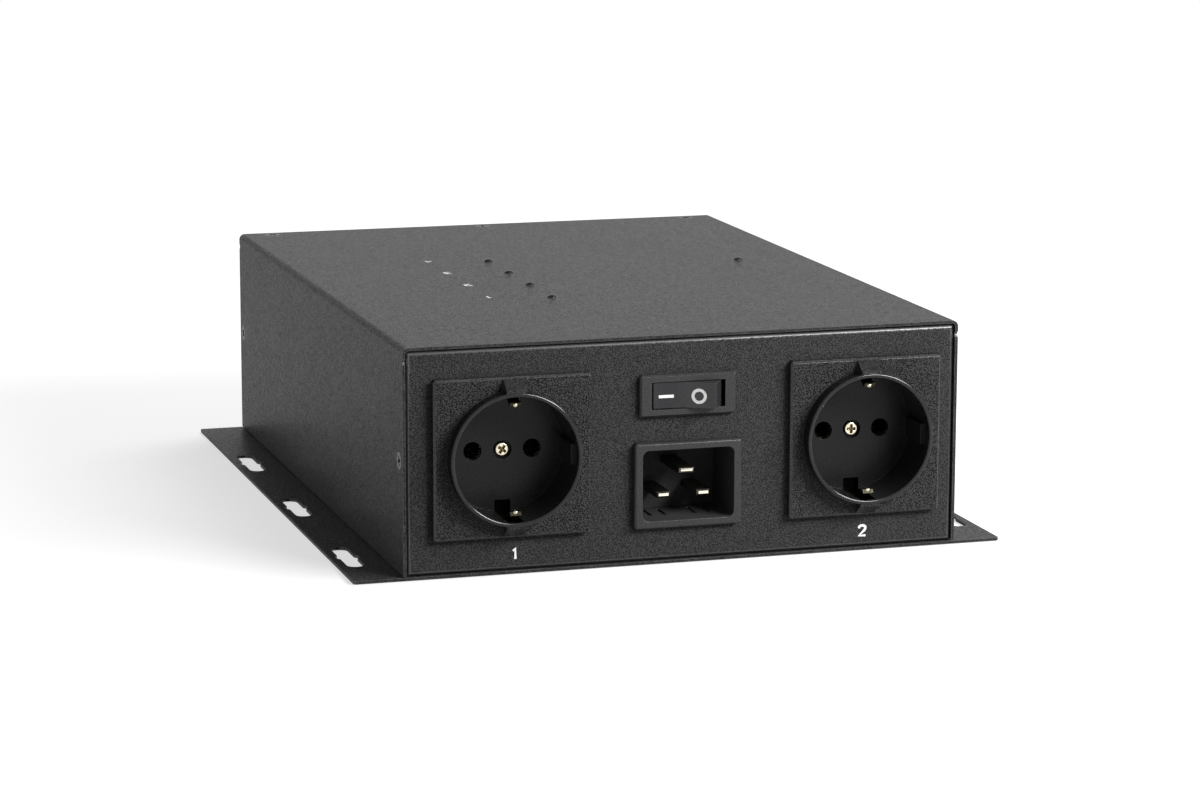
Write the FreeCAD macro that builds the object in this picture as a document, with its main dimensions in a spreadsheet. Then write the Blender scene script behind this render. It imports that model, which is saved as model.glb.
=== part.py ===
import FreeCAD, Part
import math
import os
import Sketcher

# Power distribution unit: a folded steel case with mounting ears, four earthed outlets, a mains inlet,
# a rocker switch and a relay board. X runs to the right seen from the inlet side, Y to the far side, Z up.
# The origin is under the middle of the base plate. Lengths are millimetres, angles are degrees.

DIMENSIONS = {
    # case of folded sheet
    "case_width": 180.0,
    "case_depth": 243.5,
    "case_height": 72.0,
    "sheet": 1.0,
    "bend_outer": 2.0,
    "cover_foot_gap": 0.3,
    "panel_recess": 0.3,
    "flange_depth": 10.0,
    "pan_corner": 1.05,
    "edge_notch": 0.8,
    "edge_notch_drop": 4.5,
    # mounting ears
    "ear_reach": 15.5,
    "ear_corner": 1.0,
    "slot_line": 100.0,
    "slot_first_y": -89.5,
    "slot_pitch": 73.5,
    "slot_length": 27.5,
    "slot_width": 5.4,
    "slot_eye": 7.4,
    # screws
    "screw_head": 5.6,
    "screw_shank": 2.94,
    "screw_hole": 3.0,
    "screw_length": 6.0,
    "top_screw_x": 78.6,
    "top_screw_inset": 4.3,
    "side_screw_inset": 4.7,
    "side_screw_z": 36.5,
    # outlets, measured from the panel's face
    "outlet_left_x": -56.0,
    "outlet_right_x": 58.5,
    "outlet_z": 37.0,
    "plate_side": 50.0,
    "plate_stand": 3.0,
    "plate_corner": 0.8,
    "plate_edge": 0.7,
    "rim_stand": 7.5,
    "rim_radius": 20.75,
    "well_radius": 19.5,
    "well_floor": 9.7,
    "floor_thick": 2.5,
    "body_side": 45.6,
    "body_depth": 33.0,
    "body_wall": 1.2,
    "window_play": 0.4,
    "cap_thick": 2.0,
    "cap_pillar": 6.4,
    "ramp_width": 6.4,
    "ramp_flat": 21.4,
    "ramp_toe": 0.15,
    "guide_width": 6.5,
    "guide_face": 18.1,
    "guide_drop": 4.0,
    "channel_width": 4.8,
    "channel_inner": 15.8,
    "channel_outer": 21.6,
    "channel_cover": 1.3,
    "channel_floor": 0.8,
    "pin_spacing": 19.0,
    "pin_hole": 5.7,
    "centre_recess": 5.9,
    "centre_seat": 1.6,
    "centre_head": 4.6,
    "centre_drop": 0.2,
    "strap_width": 3.4,
    "strap_thick": 0.8,
    "strap_play": 0.2,
    "clip_bump": 16.4,
    "clip_tip": 0.3,
    "clip_lip": 0.65,
    "clip_lip_rise": 1.1,
    "clip_front": 0.7,
    "clip_rear": 1.6,
    "clip_inner_front": 1.1,
    "clip_inner_rear": 1.45,
    "clip_lean": 0.25,
    "snap_root": 0.4,
    "snap_reach": 1.2,
    "snap_width": 8.0,
    "jaw_width": 5.0,
    "jaw_gap": 4.4,
    "jaw_mouth": 1.0,
    "jaw_waist": 5.0,
    "jaw_metal": 0.7,
    "wire_row_drop": 15.8,
    "wire_pitch": 6.5,
    "wire_radius": 1.2,
    "wire_entry": 3.0,
    # mains inlet, measured from the panel's face
    "inlet_x": 0.4,
    "inlet_z": 25.2,
    "inlet_width": 35.0,
    "inlet_height": 27.2,
    "inlet_stand": 2.5,
    "frame_corner": 0.8,
    "frame_edge": 0.6,
    "inlet_body_width": 31.6,
    "inlet_body_height": 24.2,
    "inlet_body_depth": 21.0,
    "inlet_mouth_width": 29.6,
    "inlet_mouth_height": 22.2,
    "inlet_mouth_depth": 18.0,
    "mouth_corner": 2.0,
    "mouth_groove_width": 1.0,
    "mouth_groove_depth": 0.5,
    "mouth_groove_start": 6.0,
    "mouth_groove_end": 14.5,
    "mouth_groove_inner": 4.9,
    "mouth_groove_outer": 9.6,
    "blade_width": 4.4,
    "earth_blade_width": 5.2,
    "blade_thick": 2.0,
    "blade_nose": 0.55,
    "blade_spacing": 13.0,
    "blade_row_z": -4.0,
    "earth_blade_z": 4.0,
    "blade_tip": 2.5,
    "earth_blade_tip": -0.5,
    "tab_width": 4.0,
    "tab_thick": 0.8,
    "tab_root": 1.0,
    "tab_end": 30.0,
    # rocker switch, measured from the panel's face
    "switch_x": 0.4,
    "switch_z": 53.3,
    "bezel_width": 31.4,
    "bezel_height": 13.2,
    "bezel_stand": 2.0,
    "switch_body_width": 28.4,
    "switch_body_height": 11.0,
    "switch_body_depth": 15.8,
    "switch_snap_width": 4.0,
    "rocker_window": 23.8,
    "rocker_window_height": 8.6,
    "switch_wall": 1.2,
    "rocker_pivot_y": 3.2,
    "rocker_tilt": 16.0,
    "rocker_height": 8.2,
    "rocker_ridge": 5.2,
    "rocker_tip_x": 9.6,
    "rocker_tip_y": 7.6,
    "rocker_foot_x": 11.6,
    "rocker_foot_y": 1.4,
    "rocker_heel_x": 10.6,
    "rocker_heel_y": 0.1,
    "rocker_hub_x": 3.4,
    "rocker_hub_y": 1.2,
    "rocker_stem_x": 2.2,
    "rocker_stem_y": 3.4,
    "trunnion_radius": 1.25,
    "trunnion_reach": 0.85,
    "plunger_side": 2.4,
    "plunger_reach": 8.5,
    "plunger_nose": 0.6,
    "lever_pivot_y": 13.2,
    "lever_tilt": 7.0,
    "lever_half": 7.5,
    "lever_metal": 0.6,
    "lever_neck": 0.9,
    "lever_width": 4.0,
    "throw_x": 6.5,
    "cradle_width": 3.0,
    "cradle_depth": 1.5,
    "cradle_drop": 0.65,
    "terminal_thick": 0.8,
    "terminal_width": 6.2,
    # lamps in the cover's top
    "lamp_row_x": -20.3,
    "lamp_first_y": -43.5,
    "lamp_pitch": 26.2,
    "link_lamp_x": 63.9,
    "link_lamp_y": 15.2,
    "lamp_radius": 1.5,
    "lamp_stand": 0.9,
    "lamp_hole": 1.6,
    "lamp_length": 6.0,
    "lamp_body": 4.4,
    "lamp_lead": 0.9,
    # relay board
    "board_left": -72.0,
    "board_right": 80.0,
    "board_near": -52.0,
    "board_far": 108.0,
    "board_thick": 1.6,
    "pillar_height": 8.0,
    "pillar_inset": 5.0,
    "pillar_side": 6.0,
    "pillar_pin": 3.0,
    "pillar_hole": 3.2,
    "pillar_snap": 1.2,
    "relay_length": 29.0,
    "relay_width": 12.7,
    "relay_height": 15.7,
    "relay_x": -50.0,
    "relay_first_y": -26.0,
    "relay_pitch": 22.0,
    "relay_edge": 0.6,
    "supply_x": 28.0,
    "supply_y": -18.0,
    "supply_length": 34.0,
    "supply_width": 22.0,
    "supply_height": 16.0,
    "supply_edge": 0.8,
    "chip_x": 20.0,
    "chip_y": 50.0,
    "chip_side": 14.0,
    "chip_height": 1.6,
    "chip_edge": 0.3,
    "block_width": 19.0,
    "block_depth": 11.0,
    "block_height": 15.0,
    "block_step": 5.0,
    "block_ledge": 2.0,
    "block_crown": 3.5,
    "far_block_y": 78.0,
    "jack_width": 16.0,
    "jack_height": 13.5,
    "jack_depth": 21.4,
    "jack_mouth_width": 11.9,
    "jack_mouth_height": 8.3,
    "jack_mouth_depth": 13.0,
    "jack_sill": 3.2,
    "jack_key_width": 6.0,
    "jack_key_depth": 1.5,
    "earth_tab_x": 27.0,
    "earth_tab_y": -80.0,
    "earth_tab_foot": 10.0,
    "earth_tab_height": 12.0,
    "earth_tab_width": 6.3,
    "earth_tab_thick": 0.8,
    # runs of the bent leads
    "lead_rise": 8.0,
    "lead_drop": 10.0,
    "lead_offset": 4.0,
    "switch_tab_inset": 2.0,
}

FULL_TURN = 360
HALF_TURN = 180
COUNTERSINK_ANGLE = 45

doc = FreeCAD.newDocument("power_distribution_unit")


class Size:
    """A length that carries its number and the sheet formula that gives it."""

    def __init__(self, value, formula):
        self.value = value
        self.formula = formula

    def __add__(self, other):
        other = as_size(other)
        return Size(self.value + other.value, f"({self.formula} + {other.formula})")

    def __sub__(self, other):
        return self + -as_size(other)

    def __mul__(self, other):
        other = as_size(other)
        return Size(self.value * other.value, f"({self.formula} * {other.formula})")

    def __truediv__(self, number):
        return Size(self.value / number, f"({self.formula} / {number})")

    def __neg__(self):
        return Size(-self.value, f"(-{self.formula})")

    def __radd__(self, other):
        return self + other

    def __rsub__(self, other):
        return -self + other

    def __rmul__(self, other):
        return self * other


def as_size(thing):
    """A plain number as a length of its own, a length as it is."""
    return thing if isinstance(thing, Size) else Size(float(thing), f"{float(thing)}")


class Sheet:
    """The spreadsheet of driving dimensions, read by name."""

    def __init__(self, dimensions):
        self.table = doc.addObject("Spreadsheet::Sheet", "Dims")
        for row, (alias, number) in enumerate(dimensions.items(), start=1):
            self.table.set(f"A{row}", alias)
            self.table.set(f"B{row}", f"{number}")
            self.table.setAlias(f"B{row}", alias)
        doc.recompute()

    def __getattr__(self, alias):
        return Size(float(self.table.get(alias)), f"Dims.{alias}")


D = Sheet(DIMENSIONS)


def bind(thing, path, length):
    """Tie one property to the formula of a length."""
    thing.setExpression(path, as_size(length).formula)


def place(thing, where, axis=(0, 0, 1), angle=0):
    """Put an object at three lengths, turned about an axis."""
    turn = FreeCAD.Rotation(FreeCAD.Vector(*axis), as_size(angle).value)
    thing.Placement = FreeCAD.Placement(FreeCAD.Vector(), turn)
    for name, length in zip("xyz", where):
        bind(thing, f"Placement.Base.{name}", length)


# Sketch profiles

ROOT_POINT = -1
X_AXIS = -1
Y_AXIS = -2
START = 1
END = 2
CENTRE = 3


def pin_along(sketch, geometry, point, kind, axis, length):
    """Hold one coordinate of a sketch point at a length from the origin."""
    if length.value == 0:
        sketch.addConstraint(Sketcher.Constraint("PointOnObject", geometry, point, axis))
        return
    rule = Sketcher.Constraint(kind, ROOT_POINT, START, geometry, point, length.value)
    bind(sketch, f"Constraints[{sketch.addConstraint(rule)}]", length)


def pin(sketch, geometry, point, x, y):
    """Hold a sketch point at two lengths from the origin."""
    pin_along(sketch, geometry, point, "DistanceX", Y_AXIS, x)
    pin_along(sketch, geometry, point, "DistanceY", X_AXIS, y)


def fix_radius(sketch, geometry, radius):
    """Hold the radius of a circle or an arc."""
    rule = Sketcher.Constraint("Radius", geometry, radius.value)
    bind(sketch, f"Constraints[{sketch.addConstraint(rule)}]", radius)


def join(sketch, first, first_point, second, second_point):
    """Make two sketch points one."""
    sketch.addConstraint(Sketcher.Constraint("Coincident", first, first_point, second, second_point))


def vector(x, y):
    """A sketch point from two lengths."""
    return FreeCAD.Vector(x.value, y.value, 0)


def arc(centre, start, end):
    """The arc that runs counter-clockwise about a centre from one point to another."""
    circle = Part.Circle(centre, FreeCAD.Vector(0, 0, 1), (start - centre).Length)
    turns = [math.atan2(p.y - centre.y, p.x - centre.x) for p in (start, end)]
    return Part.ArcOfCircle(circle, turns[0], turns[1])


class Outline:
    """A closed run of straight sides; a third number at a square corner rounds it to that radius."""

    def __init__(self, *corners):
        self.corners = [tuple(as_size(part) for part in corner) for corner in corners]

    def toward(self, corner, other):
        """The direction from one corner to another along a level or upright side."""
        across = other[0].value - corner[0].value
        up = other[1].value - corner[1].value
        longest = max(abs(across), abs(up))
        return round(across / longest), round(up / longest)

    def corner_points(self, index):
        """Where the sides stop before a corner and start after it, and the centre of its round."""
        corner = self.corners[index]
        if len(corner) == 2:
            return corner, corner, None
        x, y, radius = corner
        back = self.toward(corner, self.corners[index - 1])
        ahead = self.toward(corner, self.corners[(index + 1) % len(self.corners)])
        stop = (x + radius * back[0], y + radius * back[1])
        start = (x + radius * ahead[0], y + radius * ahead[1])
        centre = (stop[0] + radius * ahead[0], stop[1] + radius * ahead[1])
        return stop, start, centre

    def draw(self, sketch):
        """Draw the sides and rounds, each point held by its formula."""
        count = len(self.corners)
        points = [self.corner_points(index) for index in range(count)]
        sides = []
        for index in range(count):
            start, end = points[index][1], points[(index + 1) % count][0]
            sides.append(sketch.addGeometry(Part.LineSegment(vector(*start), vector(*end)), False))
        for index, side in enumerate(sides):
            stop, start, centre = points[index]
            pin(sketch, side, START, *start)
            if centre is None:
                join(sketch, sides[index - 1], END, side, START)
                continue
            pin(sketch, sides[index - 1], END, *stop)
            self.draw_round(sketch, sides[index - 1], side, points[index], self.corners[index][2])

    def draw_round(self, sketch, before, after, point, radius):
        """Draw the arc of one rounded corner between two sides."""
        stop, start, centre = (vector(*place) for place in point)
        left_turn = (stop - centre).cross(start - centre).z > 0
        ends = (stop, start) if left_turn else (start, stop)
        bow = sketch.addGeometry(arc(centre, *ends), False)
        join(sketch, before, END, bow, START if left_turn else END)
        join(sketch, after, START, bow, END if left_turn else START)
        fix_radius(sketch, bow, radius)


def rectangle(left, right, low, high, radius=None):
    """A rectangle, with round corners if a radius is given."""
    rounding = () if radius is None else (radius,)
    corners = [(left, low), (right, low), (right, high), (left, high)]
    return Outline(*[corner + rounding for corner in corners])


def centred(width, height, radius=None, x=0, y=0):
    """A rectangle about a point."""
    x, y = as_size(x), as_size(y)
    return rectangle(x - width / 2, x + width / 2, y - height / 2, y + height / 2, radius)


def clipped(width, height, corner):
    """A rectangle about the origin with its corners cut off."""
    across, up = width / 2, height / 2
    right = [(across, corner - up), (across, up - corner), (across - corner, up)]
    left = [(corner - across, up), (-across, up - corner), (-across, corner - up)]
    return Outline(*right, *left, (corner - across, -up), (across - corner, -up))


def polygon(sides, radius, x=0, y=0):
    """A regular polygon about a point, by the radius of its corners, one side level."""
    x, y = as_size(x), as_size(y)
    step = FULL_TURN / sides
    turns = [math.radians(step * (corner + 0.5) - 90) for corner in range(sides)]
    return Outline(*[(x + radius * math.cos(turn), y + radius * math.sin(turn)) for turn in turns])


def hexagon(flats, x=0, y=0):
    """A hexagon by the distance across its flats."""
    return polygon(6, flats / math.sqrt(3), x, y)


def octagon(radius, x=0, y=0):
    """An octagon by the radius of its corners."""
    return polygon(8, radius, x, y)


def small_round(radius, x=0, y=0):
    """The outline of a small hole or head, as a fine polygon that keeps the facets few."""
    return polygon(16, radius, x, y)


class Circle:
    """A circle about a point."""

    def __init__(self, x, y, radius):
        self.x, self.y, self.radius = as_size(x), as_size(y), as_size(radius)

    def draw(self, sketch):
        """Draw the circle, its centre and radius held by their formulas."""
        shape = Part.Circle(vector(self.x, self.y), FreeCAD.Vector(0, 0, 1), self.radius.value)
        geometry = sketch.addGeometry(shape, False)
        pin(sketch, geometry, CENTRE, self.x, self.y)
        fix_radius(sketch, geometry, self.radius)


class Slot:
    """A straight slot with round ends that runs along the sketch's second axis."""

    def __init__(self, x, y, length, width):
        self.x, self.y = as_size(x), as_size(y)
        self.length, self.width = length, width

    def draw(self, sketch):
        """Draw two sides and two half rounds."""
        half = self.width / 2
        low, high = self.y - self.length / 2 + half, self.y + self.length / 2 - half
        left, right = self.x - half, self.x + half
        up = sketch.addGeometry(Part.LineSegment(vector(right, low), vector(right, high)), False)
        down = sketch.addGeometry(Part.LineSegment(vector(left, high), vector(left, low)), False)
        for side, ends in ((up, ((right, low), (right, high))), (down, ((left, high), (left, low)))):
            pin(sketch, side, START, *ends[0])
            pin(sketch, side, END, *ends[1])
        for before, after, level in ((up, down, high), (down, up, low)):
            ends = (sketch.getPoint(before, END), sketch.getPoint(after, START))
            bow = sketch.addGeometry(arc(vector(self.x, level), *ends), False)
            join(sketch, before, END, bow, START)
            join(sketch, after, START, bow, END)
            pin_along(sketch, bow, CENTRE, "DistanceY", X_AXIS, level)


class Piece:
    """One sub-part: a body made of sketches, pads, pockets, bevels and shells."""

    def __init__(self, label, where=(0, 0, 0), axis=(0, 0, 1), angle=0):
        self.label = label
        self.body = doc.addObject("PartDesign::Body", label)
        self.body.Label = label
        place(self.body, where, axis, angle)

    def feature(self, kind):
        """A new feature of the body."""
        return self.body.newObject(f"PartDesign::{kind}", f"{self.label}_{kind.lower()}")

    def sketch(self, plane, level, profiles):
        """A sketch on one of the body's own planes, moved to a level along that plane's axis."""
        sketch = self.body.newObject("Sketcher::SketchObject", f"{self.label}_sketch")
        origin = [part for part in self.body.Origin.OriginFeatures if part.Role == f"{plane}_Plane"]
        sketch.AttachmentSupport = [(origin[0], "")]
        sketch.MapMode = "FlatFace"
        bind(sketch, "AttachmentOffset.Base.z", -level if plane == "XZ" else level)
        for profile in profiles:
            profile.draw(sketch)
        return sketch

    def prism(self, kind, plane, start, end, profiles):
        """Pad or pocket profiles from one level to another; the direction follows the levels."""
        start, end = as_size(start), as_size(end)
        travel = end - start
        along_normal = (travel.value > 0) != (plane == "XZ")
        feature = self.feature(kind)
        feature.Profile = self.sketch(plane, start, profiles)
        feature.Reversed = along_normal if kind == "Pocket" else not along_normal
        bind(feature, "Length", travel if travel.value > 0 else -travel)
        return feature

    def add(self, plane, start, end, *profiles):
        """Add material between two levels."""
        return self.prism("Pad", plane, start, end, profiles)

    def cut(self, plane, start, end, *profiles):
        """Take material away between two levels."""
        return self.prism("Pocket", plane, start, end, profiles)

    def sink(self, plane, start, end, *profiles):
        """A countersink: a cut that narrows from its start."""
        pocket = self.cut(plane, start, end, *profiles)
        pocket.TaperAngle = -COUNTERSINK_ANGLE
        return pocket

    def ease(self, kind, amount, wanted):
        """Round or bevel the edges whose box passes a test."""
        doc.recompute()
        base = self.body.Tip
        edges = enumerate(base.Shape.Edges, start=1)
        names = [f"Edge{number}" for number, edge in edges if wanted(edge.BoundBox)]
        feature = self.feature(kind)
        feature.Base = (base, names)
        bind(feature, "Radius" if kind == "Fillet" else "Size", amount)
        return feature

    def hollow(self, wall, wanted):
        """Leave a wall of one thickness, open at the faces whose box passes a test."""
        doc.recompute()
        base = self.body.Tip
        faces = enumerate(base.Shape.Faces, start=1)
        names = [f"Face{number}" for number, face in faces if wanted(face.BoundBox)]
        feature = self.feature("Thickness")
        feature.Base = (base, names)
        feature.Reversed = True
        bind(feature, "Value", wall)
        return feature


NEAR = 1e-4
nodes = []


def keep(piece):
    """List a finished piece among those that are written out."""
    nodes.append(piece.body if isinstance(piece, Piece) else piece)


def copies(label, pattern, places, axis=(0, 1, 0)):
    """One node of equal separate solids: a pattern piece at several places, turned about an axis."""
    links = []
    for where, angle in places:
        link = doc.addObject("App::Link", f"{label}_copy")
        link.LinkedObject = pattern.body
        link.LinkTransform = False
        place(link, where, axis, angle)
        links.append(link)
    group = doc.addObject("Part::Compound", label)
    group.Label = label
    group.Links = links
    keep(group)


def several(label, where=(0, 0, 0)):
    """A piece of separate solids that share one node."""
    piece = Piece(label, where)
    piece.body.AllowCompound = True
    return piece


def plain(label, where, profile, height, edge=None):
    """An upright block on a level: a profile, its height and a bevel round its top."""
    piece = Piece(label, where)
    piece.add("XY", 0, height, profile)
    if edge is not None:
        piece.ease("Chamfer", edge, lambda box: box.ZMin > height.value - NEAR)
    return piece


# Case

HALF_WIDTH = D.case_width / 2
HALF_DEPTH = D.case_depth / 2
INNER_HALF = HALF_WIDTH - D.sheet
CEILING = D.case_height - D.sheet
FACE_Y = HALF_DEPTH - D.panel_recess
TOP_SCREWS = [-D.top_screw_x, as_size(0), D.top_screw_x]
SLOT_ROWS = [D.slot_first_y + D.slot_pitch * row for row in range(3)]
LAMPS = [(D.lamp_row_x, D.lamp_first_y + D.lamp_pitch * row) for row in range(4)]
LAMPS = LAMPS + [(D.link_lamp_x, D.link_lamp_y)]
PILLARS = [
    (x, y)
    for x in (D.board_left + D.pillar_inset, D.board_right - D.pillar_inset)
    for y in (D.board_near + D.pillar_inset, D.board_far - D.pillar_inset)
]


def on_panel(x, z, far, inward=0):
    """Where a panel-mounted piece goes, and its turn: its own frame has the panel's face at y = 0."""
    if far:
        return {"where": (-as_size(x), FACE_Y - inward, z), "angle": HALF_TURN}
    return {"where": (x, -FACE_Y + inward, z), "angle": 0}


def make_base_plate():
    """A flat plate with two ears and six keyhole slots, welded to both panels."""
    piece = Piece("base_plate")
    reach = D.case_width + D.ear_reach * 2
    piece.add("XY", 0, D.sheet, centred(reach, D.case_depth, D.ear_corner))
    centres = [(x, y) for x in (-D.slot_line, D.slot_line) for y in SLOT_ROWS]
    piece.cut("XY", D.sheet, 0, *[Slot(x, y, D.slot_length, D.slot_width) for x, y in centres])
    piece.cut("XY", D.sheet, 0, *[Circle(x, y, D.slot_eye / 2) for x, y in centres])
    keep(piece)


def make_cover():
    """The top and both side walls, folded from one sheet."""
    piece = Piece("cover")
    foot = D.sheet + D.cover_foot_gap
    inner_bend = D.bend_outer - D.sheet
    outline = Outline(
        (-HALF_WIDTH, foot),
        (-INNER_HALF, foot),
        (-INNER_HALF, CEILING, inner_bend),
        (INNER_HALF, CEILING, inner_bend),
        (INNER_HALF, foot),
        (HALF_WIDTH, foot),
        (HALF_WIDTH, D.case_height, D.bend_outer),
        (-HALF_WIDTH, D.case_height, D.bend_outer),
    )
    piece.add("XZ", -HALF_DEPTH, HALF_DEPTH, outline)
    piece.cut("XY", D.case_height, CEILING, *[small_round(D.lamp_hole, x, y) for x, y in LAMPS])
    top_row = HALF_DEPTH - D.top_screw_inset
    heads = [small_round(D.screw_head / 2, x, top_row) for x in TOP_SCREWS]
    piece.sink("XY", D.case_height, CEILING, *heads)
    side_row = HALF_DEPTH - D.side_screw_inset
    for outside, inside in ((-HALF_WIDTH, -INNER_HALF), (HALF_WIDTH, INNER_HALF)):
        sides = [small_round(D.screw_head / 2, y, D.side_screw_z) for y in (-side_row, side_row)]
        piece.sink("YZ", outside, inside, *sides)
    notch_z = D.case_height - D.edge_notch_drop
    notches = [hexagon(D.edge_notch * 2, y, notch_z) for y in (-HALF_DEPTH, HALF_DEPTH)]
    piece.cut("YZ", HALF_WIDTH, -HALF_WIDTH, *notches)
    keep(piece)


def make_panel(label, far, windows):
    """A pan with round bends: a face, four flanges welded at the corners, outlet holes and other windows."""
    piece = Piece(label, **on_panel(as_size(0), as_size(0), far))
    piece.add("XZ", 0, D.flange_depth, rectangle(-INNER_HALF, INNER_HALF, D.sheet, CEILING))
    piece.ease("Fillet", D.bend_outer, lambda box: box.YMax < NEAR)
    piece.hollow(D.sheet, lambda box: box.YMin > D.flange_depth.value - NEAR)
    past, clip = D.sheet, D.pan_corner
    right = [
        (INNER_HALF + past, CEILING - clip - past),
        (INNER_HALF + past, CEILING + past),
        (INNER_HALF - clip - past, CEILING + past),
    ]
    left = [(-x, z) for x, z in right]
    piece.cut("XZ", 0, D.flange_depth, Outline(*right), Outline(*left))
    side = D.body_side + D.window_play
    outlets = [centred(side, side, None, x, D.outlet_z) for x in (D.outlet_left_x, D.outlet_right_x)]
    piece.cut("XZ", 0, D.sheet, *outlets, *windows)
    hole = D.screw_hole / 2
    tapped = octagon(hole, D.side_screw_inset - D.panel_recess, D.side_screw_z)
    piece.cut("YZ", HALF_WIDTH, -HALF_WIDTH, tapped)
    if far:
        top = [octagon(hole, x, D.top_screw_inset - D.panel_recess) for x in TOP_SCREWS]
        piece.cut("XY", D.case_height, CEILING - D.sheet * 2, *top)
    keep(piece)


def make_panels():
    """The near panel with inlet and switch windows, and the far one with the network window."""
    play = D.window_play
    inlet = centred(D.inlet_body_width + play, D.inlet_body_height + play, None, D.inlet_x, D.inlet_z)
    switch = centred(D.switch_body_width + play, D.switch_body_height + play, None, D.switch_x, D.switch_z)
    make_panel("front_panel", False, [inlet, switch])
    jack_z = JACK_FOOT + D.jack_height / 2
    jack = centred(D.jack_width + play, D.jack_height + play, None, 0, jack_z)
    make_panel("rear_panel", True, [jack])


def make_case_screws():
    """Countersunk screws: along the top's far edge and in both walls."""
    screw = Piece("countersunk_screw")
    head = screw.add("XY", 0, -D.sheet, small_round(D.screw_head / 2))
    head.TaperAngle = -COUNTERSINK_ANGLE
    screw.add("XY", -D.sheet / 2, -D.screw_length, octagon(D.screw_shank / 2))
    top_row = HALF_DEPTH - D.top_screw_inset
    copies("cover_top_screws", screw, [((x, top_row, D.case_height), 0) for x in TOP_SCREWS])
    side_row = HALF_DEPTH - D.side_screw_inset
    rows = (-side_row, side_row)
    left = [((-HALF_WIDTH, y, D.side_screw_z), -90) for y in rows]
    right = [((HALF_WIDTH, y, D.side_screw_z), 90) for y in rows]
    copies("cover_side_screws", screw, left + right)


# Outlets

FLOOR_BACK = D.well_floor + D.floor_thick
PIN_X = D.pin_spacing / 2
WIRE_X = [-D.wire_pitch, as_size(0), D.wire_pitch]
SNAP_START = 1.05
SNAP_END = 5.0


def snap(piece, surface, width):
    """Two wedges beside a body that spring out behind the panel and hold the piece in it."""
    root = surface - D.snap_root
    tip = surface + D.snap_reach
    right = [(root, SNAP_START), (tip, SNAP_START), (root, SNAP_END)]
    left = [(-x, y) for x, y in right]
    piece.add("XY", -width / 2, width / 2, Outline(*right), Outline(*left))


def make_outlet_housing(label, spot):
    """Square plate, raised collar with two ramps, keyed well and the square body behind the panel."""
    piece = Piece(label, **spot)
    piece.add("XZ", 0, -D.plate_stand, clipped(D.plate_side, D.plate_side, D.plate_corner))
    piece.ease("Chamfer", D.plate_edge, lambda box: box.YMax < -D.plate_stand.value + NEAR)
    piece.add("XZ", -D.plate_stand / 2, D.body_depth, centred(D.body_side, D.body_side))
    piece.add("XZ", -D.plate_stand / 2, -D.rim_stand, Circle(0, 0, D.rim_radius))
    toe = D.plate_side / 2 - D.plate_edge
    ramp = [
        (-D.plate_stand / 2, D.channel_inner),
        (-D.rim_stand, D.channel_inner),
        (-D.rim_stand, D.ramp_flat),
        (-D.plate_stand - D.ramp_toe, toe),
        (-D.plate_stand / 2, toe),
    ]
    under = [(y, -z) for y, z in ramp]
    piece.add("YZ", -D.ramp_width / 2, D.ramp_width / 2, Outline(*ramp), Outline(*under))
    piece.cut("XZ", -D.rim_stand, D.well_floor, Circle(0, 0, D.well_radius))
    chamber = D.body_side - D.body_wall * 2
    piece.cut("XZ", FLOOR_BACK, D.body_depth, centred(chamber, chamber))
    key, rear = D.guide_width / 2, D.well_radius + D.body_wall / 2
    keys = [rectangle(D.guide_face, rear, -key, key), rectangle(-rear, -D.guide_face, -key, key)]
    piece.add("XZ", D.well_floor, -D.rim_stand + D.guide_drop, *keys)
    side = D.channel_width / 2
    channels = [
        rectangle(-side, side, D.channel_inner, D.channel_outer),
        rectangle(-side, side, -D.channel_outer, -D.channel_inner),
    ]
    channel_end = FLOOR_BACK - D.channel_floor
    piece.cut("XZ", -D.rim_stand + D.channel_cover, channel_end, *channels)
    slot = D.channel_outer - D.strap_play * 2 - D.strap_thick
    slots = [rectangle(-side, side, slot, D.channel_outer), rectangle(-side, side, -D.channel_outer, -slot)]
    piece.cut("XZ", channel_end, FLOOR_BACK, *slots)
    pins = [Circle(x, 0, D.pin_hole / 2) for x in (-PIN_X, PIN_X)]
    piece.cut("XZ", D.well_floor, FLOOR_BACK, *pins, octagon(D.screw_hole / 2))
    recess = small_round(D.centre_recess / 2)
    piece.cut("XZ", D.well_floor, D.well_floor + D.centre_seat, recess)
    snap(piece, D.body_side / 2, D.snap_width)
    keep(piece)


def make_outlet_cap(label, spot):
    """The lid that closes the body, with a pillar that clamps the earth strap and a wire opening."""
    piece = Piece(label, **spot)
    back = D.body_depth + D.cap_thick
    piece.add("XZ", D.body_depth, back, centred(D.body_side, D.body_side))
    piece.add("XZ", FLOOR_BACK + D.strap_thick, back, centred(D.cap_pillar, D.cap_pillar))
    piece.cut("XZ", back, FLOOR_BACK, octagon(D.screw_hole / 2))
    opening = D.wire_pitch * 2 + D.wire_entry
    piece.cut("XZ", back, D.body_depth, centred(opening, D.wire_entry, None, 0, -D.wire_row_drop))
    keep(piece)


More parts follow.
